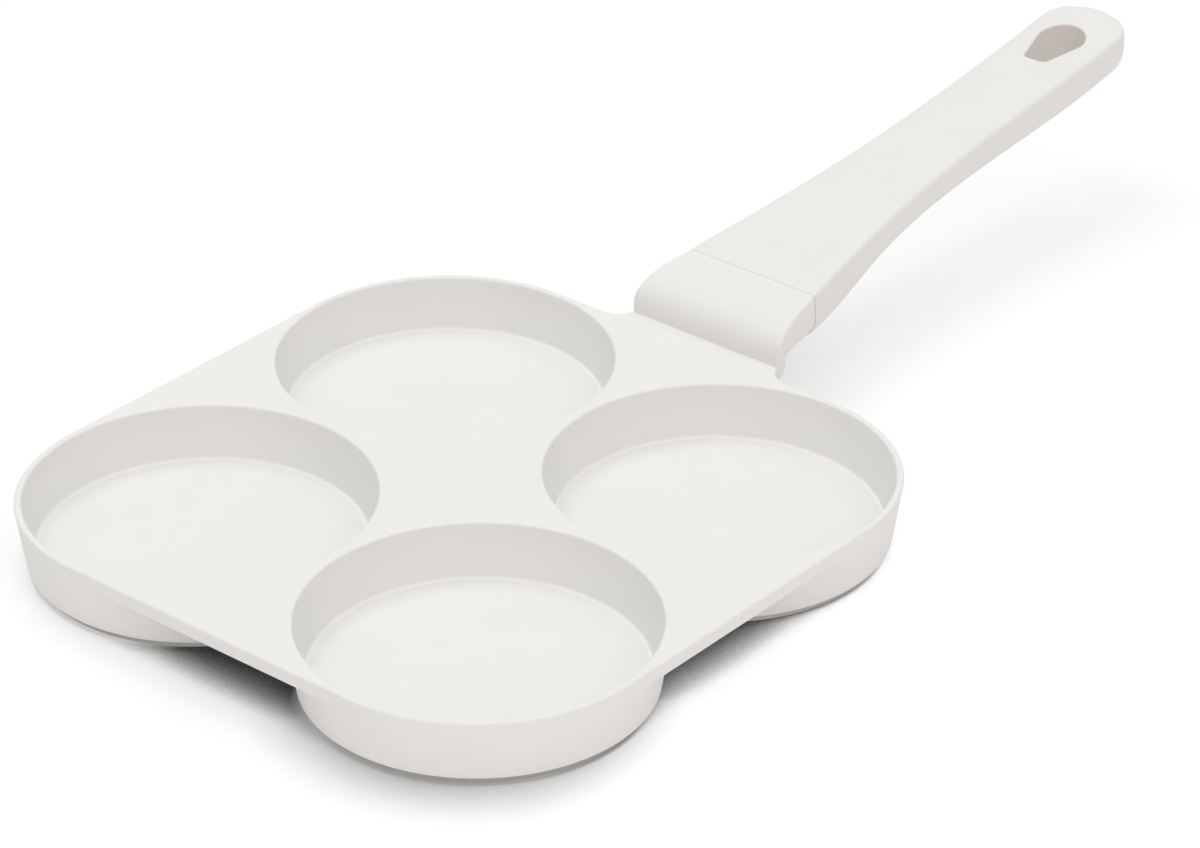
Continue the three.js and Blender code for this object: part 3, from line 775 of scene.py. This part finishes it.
wide = hole_outline(HOLE_RIM)
cut(grip, cutter("hanging_hole", [[(x, y, z) for x, y in wide] for z in HOLE_CUT]))
print("points round the hole", len(wide), "grip", len(grip.data.polygons), "faces")

# %% [markdown]
# A moulded hole has soft rims. The walls of the wide cut are taken away first. A face belongs to
# them if its points lie on the wide outline and it stands upright in the handle's frame.

# %% Take the walls of the wide cut away
WALL_NEAR, WALL_UPRIGHT, TINY = 0.03 * MM, 0.3, 1e-18
to_handle = HANDLE.inverted()
outline = [Vector((*point, 0)) for point in hole_outline(0)]


def to_outline(flat_point):
    """Nearest point of the hole's outline."""
    best = None
    for start, end in zip(outline, outline[1:] + outline[:1]):
        span = end - start
        share = min(max((flat_point - start).dot(span) / max(span.length_squared, TINY), 0), 1)
        near = start + span * share
        if best is None or (flat_point - near).length < (flat_point - best).length:
            best = near
    return best


def off_outline(co):
    """A point's way out from the hole's outline, flat in the handle's frame."""
    local = to_handle @ co
    flat_point = Vector((local.x, local.y, 0))
    return flat_point - to_outline(flat_point)


def near_hole(co):
    return hole_x - HOLE_LENGTH < (to_handle @ co).x < hole_x + HOLE_WIDTH


def in_hole_wall(face):
    if not near_hole(face.verts[0].co):
        return False
    if any(abs(off_outline(point.co).length - HOLE_RIM) > WALL_NEAR for point in face.verts):
        return False
    return abs((to_handle.to_3x3() @ face.normal).z) < WALL_UPRIGHT


make_active(grip)
bpy.ops.object.mode_set(mode="EDIT")
print("wall faces of the wide cut", pick(grip, "FACE", in_hole_wall))
bpy.ops.mesh.delete(type="FACE")

# %% [markdown]
# The two open rims are then drawn inwards and into the grip in small steps, so that each one is a
# quarter round that starts flush with the skin, and the rims are bridged. A bevel on the boolean's
# edge would have to guess its way round many small faces, and this keeps every step even.

# %% Round the rims of the hanging hole
HOLE_RIM_STEPS = 5
MID_GRIP = -8 * MM


def draw_rim_in(inward, sink):
    """Moves the selected points to a distance from the outline and sinks them into the grip."""
    skin = bmesh.from_edit_mesh(grip.data)
    for point in skin.verts:
        if point.select:
            local = to_handle @ point.co
            flat_point = Vector((local.x, local.y, 0))
            near = to_outline(flat_point)
            moved = near + (flat_point - near).normalized() * inward
            point.co = HANDLE @ Vector((moved.x, moved.y, local.z + sink))
    skin.normal_update()
    bmesh.update_edit_mesh(grip.data)


def on_rim(edge, upper):
    if not (edge.is_boundary and near_hole(edge.verts[0].co)):
        return False
    return all(((to_handle @ point.co).z > MID_GRIP) == upper for point in edge.verts)


for name, upper, way in (("upper", True, -1), ("lower", False, 1)):
    print(name, "rim edges", pick(grip, "EDGE", lambda edge: on_rim(edge, upper)))
    depth = 0.0
    for angle in right_angle(HOLE_RIM_STEPS)[1:]:
        next_depth = HOLE_RIM * (1 - math.cos(angle))
        bpy.ops.mesh.extrude_region_move()
        draw_rim_in(HOLE_RIM * (1 - math.sin(angle)), way * (next_depth - depth))
        depth = next_depth
print("edges to bridge", pick(grip, "EDGE", is_open))
bpy.ops.mesh.bridge_edge_loops()
print("open edges left on the grip", pick(grip, "EDGE", is_open))
end_piece(grip)

# %% [markdown]
# ## The discs
# A steel disc is pressed into a shallow recess under each cup, so that the pan works on an induction
# hob. Its edge is rounded, two fine rings are turned in its face and the lathe's centre leaves a
# dimple. One disc is turned and copied, and each copy keeps its own mesh.

# %% Turn one disc and copy it
DISC_RADIUS, DISC_THICKNESS, DISC_ROUND, DISC_STEPS = 47.42 * MM, 3 * MM, 0.5 * MM, 6
RING_RADII, RING_WIDTH, RING_DEPTH, RING_STEPS = [30 * MM, 16 * MM], 2.4 * MM, 0.5 * MM, 8
DIMPLE_RADIUS, DIMPLE_RINGS, DIMPLE_SPAN = 4 * MM, 7, 6.2
STEEL_SMOOTH_ANGLE = 30


def groove(outer_radius):
    points = []
    for step in range(RING_STEPS + 1):
        share = step / RING_STEPS
        depth = RING_DEPTH * (0.5 - 0.5 * math.cos(2 * math.pi * share))
        points.append((outer_radius - RING_WIDTH * share, depth))
    return points


disc_profile = [(DISC_RADIUS, DISC_THICKNESS), (DISC_RADIUS, DISC_ROUND + SUPPORT)]
disc_profile += arc(DISC_RADIUS - DISC_ROUND, DISC_ROUND, DISC_ROUND, 0, -90, DISC_STEPS)
disc_profile.append((DISC_RADIUS - DISC_ROUND - SUPPORT, 0))
for ring_radius in RING_RADII:
    outer = ring_radius + RING_WIDTH
    disc_profile += [(outer + SUPPORT, 0), *groove(outer), (ring_radius - SUPPORT, 0)]
for step in range(DIMPLE_RINGS):
    share = 1 - step / DIMPLE_SPAN
    disc_profile.append((DIMPLE_RADIUS * share, RING_DEPTH * (1 - share ** 2)))
disc = start_piece("base_disc_turned_far_left")
turn(disc_profile, first_axis)
bpy.ops.mesh.edge_face_add()
pick(disc, "EDGE", is_open)
bpy.ops.mesh.edge_face_add()
end_piece(disc, STEEL_SMOOTH_ANGLE)
discs = {"far_left": disc}
for name in CUP_NAMES[1:]:
    twin = disc.copy()
    twin.data = disc.data.copy()
    twin.name = twin.data.name = f"base_disc_turned_{name}"
    twin.data.transform(Matrix.Translation(cup_axes[name] - first_axis))
    bpy.context.collection.objects.link(twin)
    discs[name] = twin
print("discs", sorted(discs))

# %% [markdown]
# ## The screw
# A pan-head screw comes up from below, through two washers and the grip, into the tang. It is lofted
# in the handle's frame from a row of round rings, with a zigzag for the thread. A true helix would
# look the same here, where the thread is out of sight, and would cost many more faces. The washers
# keep their CAD shapes, which are right as they are.

# %% Loft the screw
HEAD_TOP, HEAD_HEIGHT, HEAD_RADIUS, DOME_STEPS = 13.7 * MM, 2.4 * MM, 4.5 * MM, 12
SCREW_RADIUS, SCREW_ROOT, SCREW_LENGTH, THREAD_PITCH = 2.5 * MM, 2.15 * MM, 9 * MM, 0.9 * MM
POINT_RADIUS, POINT_LENGTH = 1.7 * MM, 0.5 * MM
screw_end = SCREW_LENGTH - HEAD_TOP
screw_rings = [round_ring(POINT_RADIUS, screw_end)]
thread_z = screw_end - POINT_LENGTH
while thread_z - THREAD_PITCH > -HEAD_TOP:
    screw_rings.append(round_ring(SCREW_RADIUS, thread_z))
    screw_rings.append(round_ring(SCREW_ROOT, thread_z - THREAD_PITCH / 2))
    thread_z -= THREAD_PITCH
screw_rings += [round_ring(SCREW_RADIUS, thread_z), round_ring(SCREW_RADIUS, -HEAD_TOP)]
screw_rings += [round_ring(HEAD_RADIUS, -HEAD_TOP)]
for step in range(1, DOME_STEPS):
    share = step / DOME_STEPS
    radius = HEAD_RADIUS * (1 - share ** 2)
    screw_rings.append(round_ring(radius, -HEAD_TOP - HEAD_HEIGHT * (1 - (1 - share) ** 2)))
screw = start_piece("pan_head_screw")
loft(screw, screw_rings, HANDLE)
end_piece(screw, STEEL_SMOOTH_ANGLE)

# %% [markdown]
# A cross is cut in the screw's domed head with a boolean. Its tool narrows upwards, as the tip of a
# screwdriver does.

# %% Cut the cross in the screw's head
CROSS_REACH, CROSS_WIDTH, CROSS_DEPTH = 2.5 * MM, 0.55 * MM, 1.3 * MM
CROSS_OUTSIDE, CROSS_WIDE, CROSS_SLIM = 1 * MM, 1.3, 0.7
head_under = -HEAD_TOP - HEAD_HEIGHT


def cross_ring(z, size):
    arm = [(CROSS_WIDTH, -CROSS_WIDTH), (CROSS_REACH, -CROSS_WIDTH), (CROSS_REACH, CROSS_WIDTH)]
    points = []
    for arm_number in range(4):
        angle = math.pi / 2 * arm_number
        for along, across in arm:
            x = (along * math.cos(angle) - across * math.sin(angle)) * size
            y = (along * math.sin(angle) + across * math.cos(angle)) * size
            points.append((SCREW_PLACE + x, y, z))
    return points


cut(screw, cutter("cross", [cross_ring(head_under - CROSS_OUTSIDE, CROSS_WIDE),
                            cross_ring(head_under + CROSS_DEPTH, CROSS_SLIM)]))
print("screw", len(screw.data.polygons), "faces")

# %% [markdown]
# ## Finishes
# One effect is shared by the coating, the grip and the metals, so it is a node group. Fine grain
# gives a small height for the bump, and a slow cloud shifts colour and roughness, as a sprayed
# coating, a moulded skin or a plated one does. The group puts out only values, and the shader stays
# in each material.

# %% Node group for fine grain
GRAIN_DETAIL, CLOUD_DETAIL = 2, 3


def feed(tree, node, inputs):
    """Gives each input of a node its value, or a link where a socket is given."""
    for key, value in inputs.items():
        if isinstance(value, bpy.types.NodeSocket):
            tree.links.new(value, node.inputs[key])
        else:
            node.inputs[key].default_value = value


def add_node(tree, kind, inputs, **settings):
    """Adds a node, sets what it does and feeds its inputs."""
    node = tree.nodes.new(f"ShaderNode{kind}")
    for setting, value in settings.items():
        setattr(node, setting, value)
    feed(tree, node, inputs)
    return node


grain_group = bpy.data.node_groups.new("fine_grain", "ShaderNodeTree")
for word, direction, kind in [
        ("Vector", "INPUT", "Vector"), ("Grain Scale", "INPUT", "Float"),
        ("Cloud Scale", "INPUT", "Float"), ("Height", "OUTPUT", "Float"), ("Cloud", "OUTPUT", "Float")]:
    grain_group.interface.new_socket(word, in_out=direction, socket_type=f"NodeSocket{kind}")
ins = grain_group.nodes.new("NodeGroupInput").outputs
outs = grain_group.nodes.new("NodeGroupOutput")
for scale, output, detail in [("Grain Scale", "Height", GRAIN_DETAIL),
                              ("Cloud Scale", "Cloud", CLOUD_DETAIL)]:
    noise = add_node(grain_group, "TexNoise", {
        "Vector": ins["Vector"], "Scale": ins[scale], "Detail": detail})
    feed(grain_group, outs, {output: noise.outputs["Fac"]})
print("group", grain_group.name, [socket.name for socket in grain_group.interface.items_tree])

# %% [markdown]
# A material starts from the group, the object's own coordinates and one shader. Colours are written
# as the eye sees them on a screen and turned into the linear values that a shader needs. Noise keeps
# mostly to the middle of its range, so that part is spread over the range that a socket gets.

# %% Helpers for materials
NOISE_LOW, NOISE_HIGH = 0.3, 0.7
MIX_SHARE, MIX_FIRST, MIX_SECOND, MIX_COLOUR = 0, 6, 7, 2


def tint(red, green, blue):
    def linear(value):
        value /= 255
        return value / 12.92 if value <= 0.04045 else ((value + 0.055) / 1.055) ** 2.4
    return (linear(red), linear(green), linear(blue), 1)


def new_material(name):
    material = bpy.data.materials.new(name)
    material.use_nodes = True
    tree = material.node_tree
    place = add_node(tree, "TexCoord", {})
    mapping = add_node(tree, "Mapping", {"Vector": place.outputs["Object"]})
    return material, tree, tree.nodes["Principled BSDF"], mapping


def spread(tree, value, low, high, start=NOISE_LOW, end=NOISE_HIGH):
    """Maps a value from its own range to the range that a socket needs."""
    return add_node(tree, "MapRange", {
        "Value": value, "From Min": start, "From Max": end, "To Min": low, "To Max": high}).outputs["Result"]


def blend_colours(tree, share, first, second):
    inputs = {MIX_SHARE: share, MIX_FIRST: first, MIX_SECOND: second}
    return add_node(tree, "Mix", inputs, data_type="RGBA").outputs[MIX_COLOUR]


def bump(tree, height, strength, distance):
    inputs = {"Height": height, "Strength": strength, "Distance": distance}
    return add_node(tree, "Bump", inputs).outputs["Normal"]


def add_grain(tree, mapping, grain_scale, cloud_scale):
    inputs = {"Vector": mapping.outputs["Vector"], "Grain Scale": grain_scale, "Cloud Scale": cloud_scale}
    return add_node(tree, "Group", inputs, node_tree=grain_group).outputs


def grained_material(name, dark, light, grain_scale, cloud_scale, rough, relief):
    """A skin with a cloud of two near colours, a range of roughness and a fine relief."""
    material, tree, shader, mapping = new_material(name)
    grain = add_grain(tree, mapping, grain_scale, cloud_scale)
    feed(tree, shader, {
        "Base Color": blend_colours(tree, spread(tree, grain["Cloud"], 0, 1), dark, light),
        "Roughness": spread(tree, grain["Cloud"], *rough),
        "Normal": bump(tree, grain["Height"], *relief)})
    return material, shader


print("a middle grey of the screen is", round(tint(128, 128, 128)[0], 3), "in a shader")

# %% [markdown]
# Two places get painted light. A paler colour along the fillet round each cup's floor is a painted
# highlight, and a darker, warmer colour on the walls of the hanging hole is painted shade. Each place
# is marked on the mesh by an attribute.

# %% Mark the painted highlight in the creases and the painted shade in the hole
def mark(piece, name, share_at):
    """Keeps a share from 0 to 1 on every point of a piece."""
    layer = piece.data.attributes.new(name, "FLOAT", "POINT")
    shares = [share_at(point.co) for point in piece.data.vertices]
    layer.data.foreach_set("value", shares)
    print(name, "marks", sum(share > 0 for share in shares), "points of", piece.name)


def in_crease_highlight(co):
    near_floor = CUP_FLOOR_Z - NEAR < co.z < fillet_z + NEAR
    out = min(math.hypot(co.x - axis.x, co.y - axis.y) for axis in cup_axes.values())
    return 1.0 if near_floor and fillet_r - NEAR < out < MOUTH_RADIUS else 0.0


def in_hole_shade(co):
    return max(1 - off_outline(co).length / HOLE_RIM, 0.0) if near_hole(co) else 0.0


mark(pan, "crease_highlight", in_crease_highlight)
mark(grip, "hole_shade", in_hole_shade)

# %% [markdown]
# The coating is a sprayed off-white ceramic film: satin, a little uneven in gloss, with the finest
# orange-peel relief. The grip is moulded in nearly the same colour, but duller, with a spark-eroded
# texture.

# %% Coating and grip plastic
PALE_SPECULAR = 0.3


def paint_where(material, shader, name, colour, amount):
    """Blends a colour into a material where the mesh has a mark: here a painted highlight or painted shade.
    """
    tree = material.node_tree
    marked = add_node(tree, "Attribute", {}, attribute_name=name).outputs["Fac"]
    skin_colour = shader.inputs["Base Color"].links[0].from_socket
    share = spread(tree, marked, 0, amount, 0, 1)
    feed(tree, shader, {"Base Color": blend_colours(tree, share, skin_colour, colour)})


coating, coat_shader = grained_material(
    "off_white_coating", tint(233, 233, 230), tint(235, 235, 232), grain_scale=1600, cloud_scale=45,
    rough=(0.62, 0.72), relief=(0.10, 0.02 * MM))
coat_shader.inputs["Specular IOR Level"].default_value = PALE_SPECULAR
# painted highlight: a paler colour along the fillet round each cup's floor
paint_where(coating, coat_shader, "crease_highlight", tint(250, 248, 245), 0.5)
plastic, plastic_shader = grained_material(
    "moulded_grip", tint(231, 231, 228), tint(233, 233, 230), grain_scale=3200, cloud_scale=60,
    rough=(0.66, 0.74), relief=(0.16, 0.03 * MM))
plastic_shader.inputs["Specular IOR Level"].default_value = PALE_SPECULAR
# painted shade: a darker, warmer colour on the walls of the hanging hole
paint_where(plastic, plastic_shader, "hole_shade", tint(227, 223, 218), 1)
print(coating.name, len(coating.node_tree.nodes), "nodes,", plastic.name,
      len(plastic.node_tree.nodes), "nodes")

# %% [markdown]
# The discs are faced on a lathe, so their marks run in circles. The distance from the disc's axis,
# which a Mapping node puts at the origin, drives a fine noise: it has no detail along the circle and
# much across it. Each disc has its own axis, so each has its own material. The screw and the washers
# are zinc plated, which is a grained skin like the others, only metal.

# %% Turned steel and zinc plate
LATHE_MARKS, LATHE_DETAIL, LATHE_RELIEF = 2600, 3, (0.22, 0.02 * MM)
STEEL_ROUGH = (0.32, 0.44)


def vector_math(tree, operation, *vectors):
    return add_node(tree, "VectorMath", dict(enumerate(vectors)), operation=operation).outputs


def turned_steel(name, axis):
    material, tree, shader, mapping = new_material(f"turned_steel_{name}")
    mapping.inputs["Location"].default_value = (-axis.x, -axis.y, 0)
    flat = vector_math(tree, "MULTIPLY", mapping.outputs["Vector"], (1, 1, 0))["Vector"]
    radius = vector_math(tree, "LENGTH", flat)["Value"]
    marks = add_node(tree, "TexNoise", {}, noise_dimensions="1D")
    feed(tree, marks, {"W": radius, "Scale": LATHE_MARKS, "Detail": LATHE_DETAIL})
    mark_height = marks.outputs["Fac"]
    grain = add_grain(tree, mapping, grain_scale=900, cloud_scale=35)
    share = spread(tree, mark_height, 0, 1)
    feed(tree, shader, {
        "Base Color": blend_colours(tree, share, tint(163, 158, 152), tint(186, 182, 177)),
        "Roughness": spread(tree, grain["Cloud"], *STEEL_ROUGH),
        "Normal": bump(tree, mark_height, *LATHE_RELIEF), "Metallic": 1})
    return material


disc_steel = {name: turned_steel(name, cup_axes[name]) for name in CUP_NAMES}
zinc, zinc_shader = grained_material(
    "zinc_plate", tint(178, 178, 176), tint(200, 199, 194), grain_scale=2200, cloud_scale=160,
    rough=(0.24, 0.36), relief=(0.10, 0.01 * MM))
zinc_shader.inputs["Metallic"].default_value = 1
print("steel finishes", len(disc_steel) + 1)

# %% [markdown]
# Every new piece takes the place of its CAD node, which is hidden, rides on the one body and gets its
# finish. The washers stay as CAD nodes and only get the zinc finish.

# %% Join the pieces to the frame
def finish_piece(piece, node, material):
    piece.data.materials.clear()
    piece.data.materials.append(material)
    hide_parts(node)
    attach(piece, "root")


finish_piece(pan, "pan_body", coating)
finish_piece(grip, "handle_grip", plastic)
finish_piece(screw, "handle_screw", zinc)
for name, piece in discs.items():
    finish_piece(piece, f"base_disc_{name}", disc_steel[name])
for node in ("flat_washer", "spring_washer"):
    for material_slot in frame["nodes"][node].material_slots:
        material_slot.material = zinc

# %% [markdown]
# ## The floor
# The pan stands on white studio paper. To the camera, a mirror or a clear body the paper is half a
# white glow and half a surface that takes light, so the background stays plain white and still holds
# the pan's shadow. Light that bounces meets a plain pale floor with next to no glow, so the pan gets
# some light back from the paper, but hardly any from the glow.

# %% Floor
FLOOR_SIZE, FLOOR_DROP = 6, 0.05 * MM
nothing_selected()
bpy.ops.mesh.primitive_plane_add(size=FLOOR_SIZE, location=(0, 0, -FLOOR_DROP))
floor = bpy.context.object
floor.name = "studio_floor"
paper, paper_tree, paper_shader, paper_mapping = new_material("studio_paper")
feed(paper_tree, paper_shader, {"Roughness": 1, "Specular IOR Level": 0})
floor.data.materials.append(paper)
floor_place = paper_mapping.outputs["Vector"]


def calc(tree, operation, first, *others):
    """Combines values and sockets two by two, from the first one on."""
    for other in others:
        first = add_node(tree, "Math", {0: first, 1: other}, operation=operation).outputs[0]
    return first


def seen_directly(tree):
    """1 for rays from the camera, a mirror or a clear body, and 0 for light that bounces."""
    rays = tree.nodes.new("ShaderNodeLightPath").outputs
    return calc(tree, "MAXIMUM", rays["Is Glossy Ray"], rays["Is Transmission Ray"], rays["Is Camera Ray"])


seen_floor = seen_directly(paper_tree)
print(floor.name, "is", FLOOR_SIZE, "m wide")

# %% [markdown]
# Soft light leaves a dark shade between the cups, where the plate covers the floor. Lamps alone make
# it too pale beside so much white paper, so ambient occlusion, which measures how much of the sky a
# point sees, deepens it. Its direction leans back a little, so that more of the shade falls to the
# front. Past the plate, under the raised handle, only the true shadow is left.

# %% Shade under the plate
SHADE_REACH, SHADE_SAMPLES = 40 * MM, 16
SHADE_LEAN = (0.14, 0.06, 0.988)
CLOSED, OPEN = 0.15, 0.37
PLATE_FADE = (PAN_X + 85 * MM, PAN_X + 115 * MM)
lean = add_node(paper_tree, "CombineXYZ", dict(zip("XYZ", SHADE_LEAN))).outputs["Vector"]
contact = add_node(paper_tree, "AmbientOcclusion", {"Normal": lean, "Distance": SHADE_REACH},
                   samples=SHADE_SAMPLES).outputs["AO"]
along_pan = add_node(paper_tree, "SeparateXYZ", {"Vector": floor_place}).outputs["X"]
past_plate = spread(paper_tree, along_pan, 0, 1, *PLATE_FADE)
under_plate = spread(paper_tree, contact, 0, 1, CLOSED, OPEN)
shaded = calc(paper_tree, "MAXIMUM", under_plate, past_plate)
print("shade fades out from", [round(x / MM, 1) for x in PLATE_FADE], "mm along the pan")

# %% [markdown]
# Seen from the camera, the feet of the front cup and the left one meet the paper without a dark line,
# and a broad soft shade lies in front of the front cup. Round spots on the paper, near those cups'
# axes, lift the line and lay down the shade. They are parts of the floor and stay in every view.

# %% Shade in front of the cups
PHOTO_FRONT, PHOTO_RIGHT = Vector((-0.768, -0.64, 0)), Vector((0.64, -0.768, 0))
SPOTS = {"far_left": (9 * MM, -4 * MM), "far_right": (3 * MM, -17 * MM)}
FOOT_LIGHT, FOOT_NEAR, FOOT_FAR = 0.75, 41 * MM, 47 * MM
FRONT_SHADE, FRONT_NEAR, FRONT_FAR = 0.29, 20 * MM, 63 * MM


def from_spot(cup):
    """Distance on the floor from a point a little in front of a cup's axis."""
    ahead, aside = SPOTS[cup]
    spot = cup_axes[cup] + PHOTO_FRONT * ahead + PHOTO_RIGHT * aside
    return vector_math(paper_tree, "DISTANCE", floor_place, (spot.x, spot.y, 0))["Value"]


for cup in SPOTS:
    foot_light = spread(paper_tree, from_spot(cup), FOOT_LIGHT, 0, FOOT_NEAR, FOOT_FAR)
    shaded = calc(paper_tree, "MAXIMUM", shaded, foot_light)
front_shade = spread(paper_tree, from_spot("far_left"), FRONT_SHADE, 1, FRONT_NEAR, FRONT_FAR)
front_shade.node.interpolation_type = "SMOOTHSTEP"
in_mirror = paper_tree.nodes.new("ShaderNodeLightPath").outputs["Is Glossy Ray"]
openness = calc(paper_tree, "MAXIMUM", calc(paper_tree, "MULTIPLY", shaded, front_shade), in_mirror)
print("spots on the floor in front of", list(SPOTS))

# %% [markdown]
# The shade drives both halves of the paper's white. On the camera's right the paper is clear white
# close up to the shade, so the glow is a little stronger there, up to the handle.

# %% White of the floor
GLOW, FILL, BOUNCE, DEEPEST = 0.5, 0.07, 0.9, 0.045
RIGHT_GLOW, RIGHT_START, RIGHT_END = 0.14, -45 * MM, -5 * MM


def grey(level):
    return (level, level, level, 1)


surface = blend_colours(paper_tree, openness, grey(DEEPEST * (1 - GLOW)), grey(1 - GLOW))
surface = blend_colours(paper_tree, seen_floor, grey(BOUNCE), surface)
glow = blend_colours(paper_tree, openness, grey(DEEPEST), grey(1))
glow = blend_colours(paper_tree, seen_floor, grey(1), glow)
to_right = vector_math(paper_tree, "DOT_PRODUCT", floor_place, PHOTO_RIGHT)["Value"]
more_glow = spread(paper_tree, to_right, 0, RIGHT_GLOW, RIGHT_START, RIGHT_END)
before_handle = calc(paper_tree, "SUBTRACT", 1.0, past_plate)
more_glow = calc(paper_tree, "MULTIPLY", more_glow, before_handle, seen_floor)
strength = calc(paper_tree, "ADD", spread(paper_tree, seen_floor, FILL, GLOW, 0, 1), more_glow)
feed(paper_tree, paper_shader, {
    "Base Color": surface, "Emission Color": glow, "Emission Strength": strength})
print(paper.name, len(paper_tree.nodes), "nodes")

# %% [markdown]
# ## Light
# The surround is a soft sky: pale all round, warmer near the horizon, brighter overhead and a touch
# brighter from the right. The camera and mirror-like surfaces see it as plain white, so what lights
# the pan and what stands behind it can be set apart.

# %% Surround
HORIZON, ZENITH, FROM_RIGHT = 0.44, 0.80, 0.03
HORIZON_COLOUR, ZENITH_COLOUR = (1, 0.875, 0.905, 1), (0.985, 1, 0.985, 1)
COLOUR_LOW, COLOUR_HIGH = 0.2, 0.7
world = bpy.data.worlds.new("studio")
bpy.context.scene.world = world
world.use_nodes = True
sky = world.node_tree
lit = sky.nodes["Background"]
direction = sky.nodes.new("ShaderNodeTexCoord").outputs["Generated"]
height = add_node(sky, "SeparateXYZ", {"Vector": direction}).outputs["Z"]
up = spread(sky, height, 0, 1, 0, 1)
overhead = calc(sky, "MULTIPLY", up, up, ZENITH)
sideways = vector_math(sky, "DOT_PRODUCT", direction, PHOTO_RIGHT)["Value"]
from_right = calc(sky, "MULTIPLY", sideways, FROM_RIGHT)
ceiling = spread(sky, height, 0, 1, COLOUR_LOW, COLOUR_HIGH)
feed(sky, lit, {"Strength": calc(sky, "ADD", overhead, from_right, HORIZON),
                "Color": blend_colours(sky, ceiling, HORIZON_COLOUR, ZENITH_COLOUR)})
white = add_node(sky, "Background", {"Color": grey(1), "Strength": 1})
choose = add_node(sky, "MixShader", {
    "Fac": seen_directly(sky), 1: lit.outputs["Background"], 2: white.outputs["Background"]})
feed(sky, sky.nodes["World Output"], {"Surface": choose.outputs["Shader"]})
print("surround", world.name, "from", HORIZON, "at the horizon to", HORIZON + ZENITH, "overhead")

# %% [markdown]
# Two wide round lamps give the pan its form. One overhead, a little behind, draws the soft shadow of
# the handle. A larger one low in front keeps the near walls of the cups pale.

# %% Lamps
def softbox(name, place, size, watts, colour):
    nothing_selected()
    bpy.ops.object.light_add(type="AREA", location=place)
    lamp = bpy.context.object
    lamp.name = name
    lamp.data.shape = "DISK"
    lamp.data.size = size
    lamp.data.energy = watts
    lamp.data.color = colour
    lamp.rotation_mode = "QUATERNION"
    lamp.rotation_quaternion = (Vector((PAN_X, 0, 0)) - Vector(place)).to_track_quat("-Z", "Y")
    print(name, "of", watts, "W,", round(lamp.location.length, 2), "m away")


softbox("overhead_softbox", place=(0.1, 0.65, 1.75), size=1.0, watts=6.0, colour=(1, 1, 0.98))
softbox("front_softbox", place=(-1.25, -1.5, 0.95), size=1.6, watts=6.3, colour=(1, 0.90, 0.93))

# %% [markdown]
# ## Camera
# The camera stands where the photograph was taken from: the discs' strips, the rims and the handle
# fix its direction, its distance and its long lens.

# %% Camera
AZIMUTH, ELEVATION, ROLL = math.radians(-50.184), math.radians(29.536), math.radians(0.114)
DISTANCE, LENS, SENSOR = 1365.3 * MM, 142.71, 36
CLIP_START, CLIP_END = 0.05, 50
target = Vector((-54.1 * MM, -9.0 * MM, 21.25 * MM))
back = Vector((math.sin(AZIMUTH) * math.cos(ELEVATION), -math.cos(AZIMUTH) * math.cos(ELEVATION),
               math.sin(ELEVATION)))
nothing_selected()
bpy.ops.object.camera_add(location=target + back * DISTANCE)
camera = bpy.context.object
camera.name = "photo_camera"
camera.data.sensor_width = SENSOR
camera.data.lens = LENS
camera.data.clip_start, camera.data.clip_end = CLIP_START, CLIP_END
camera.rotation_mode = "QUATERNION"
roll = Matrix.Rotation(ROLL, 4, "Z").to_quaternion()
camera.rotation_quaternion = (-back).to_track_quat("-Z", "Y") @ roll
bpy.context.scene.camera = camera
bpy.context.scene.view_settings.view_transform = "Standard"
print("camera at", [round(value, 3) for value in camera.location], "with a lens of", LENS, "mm")
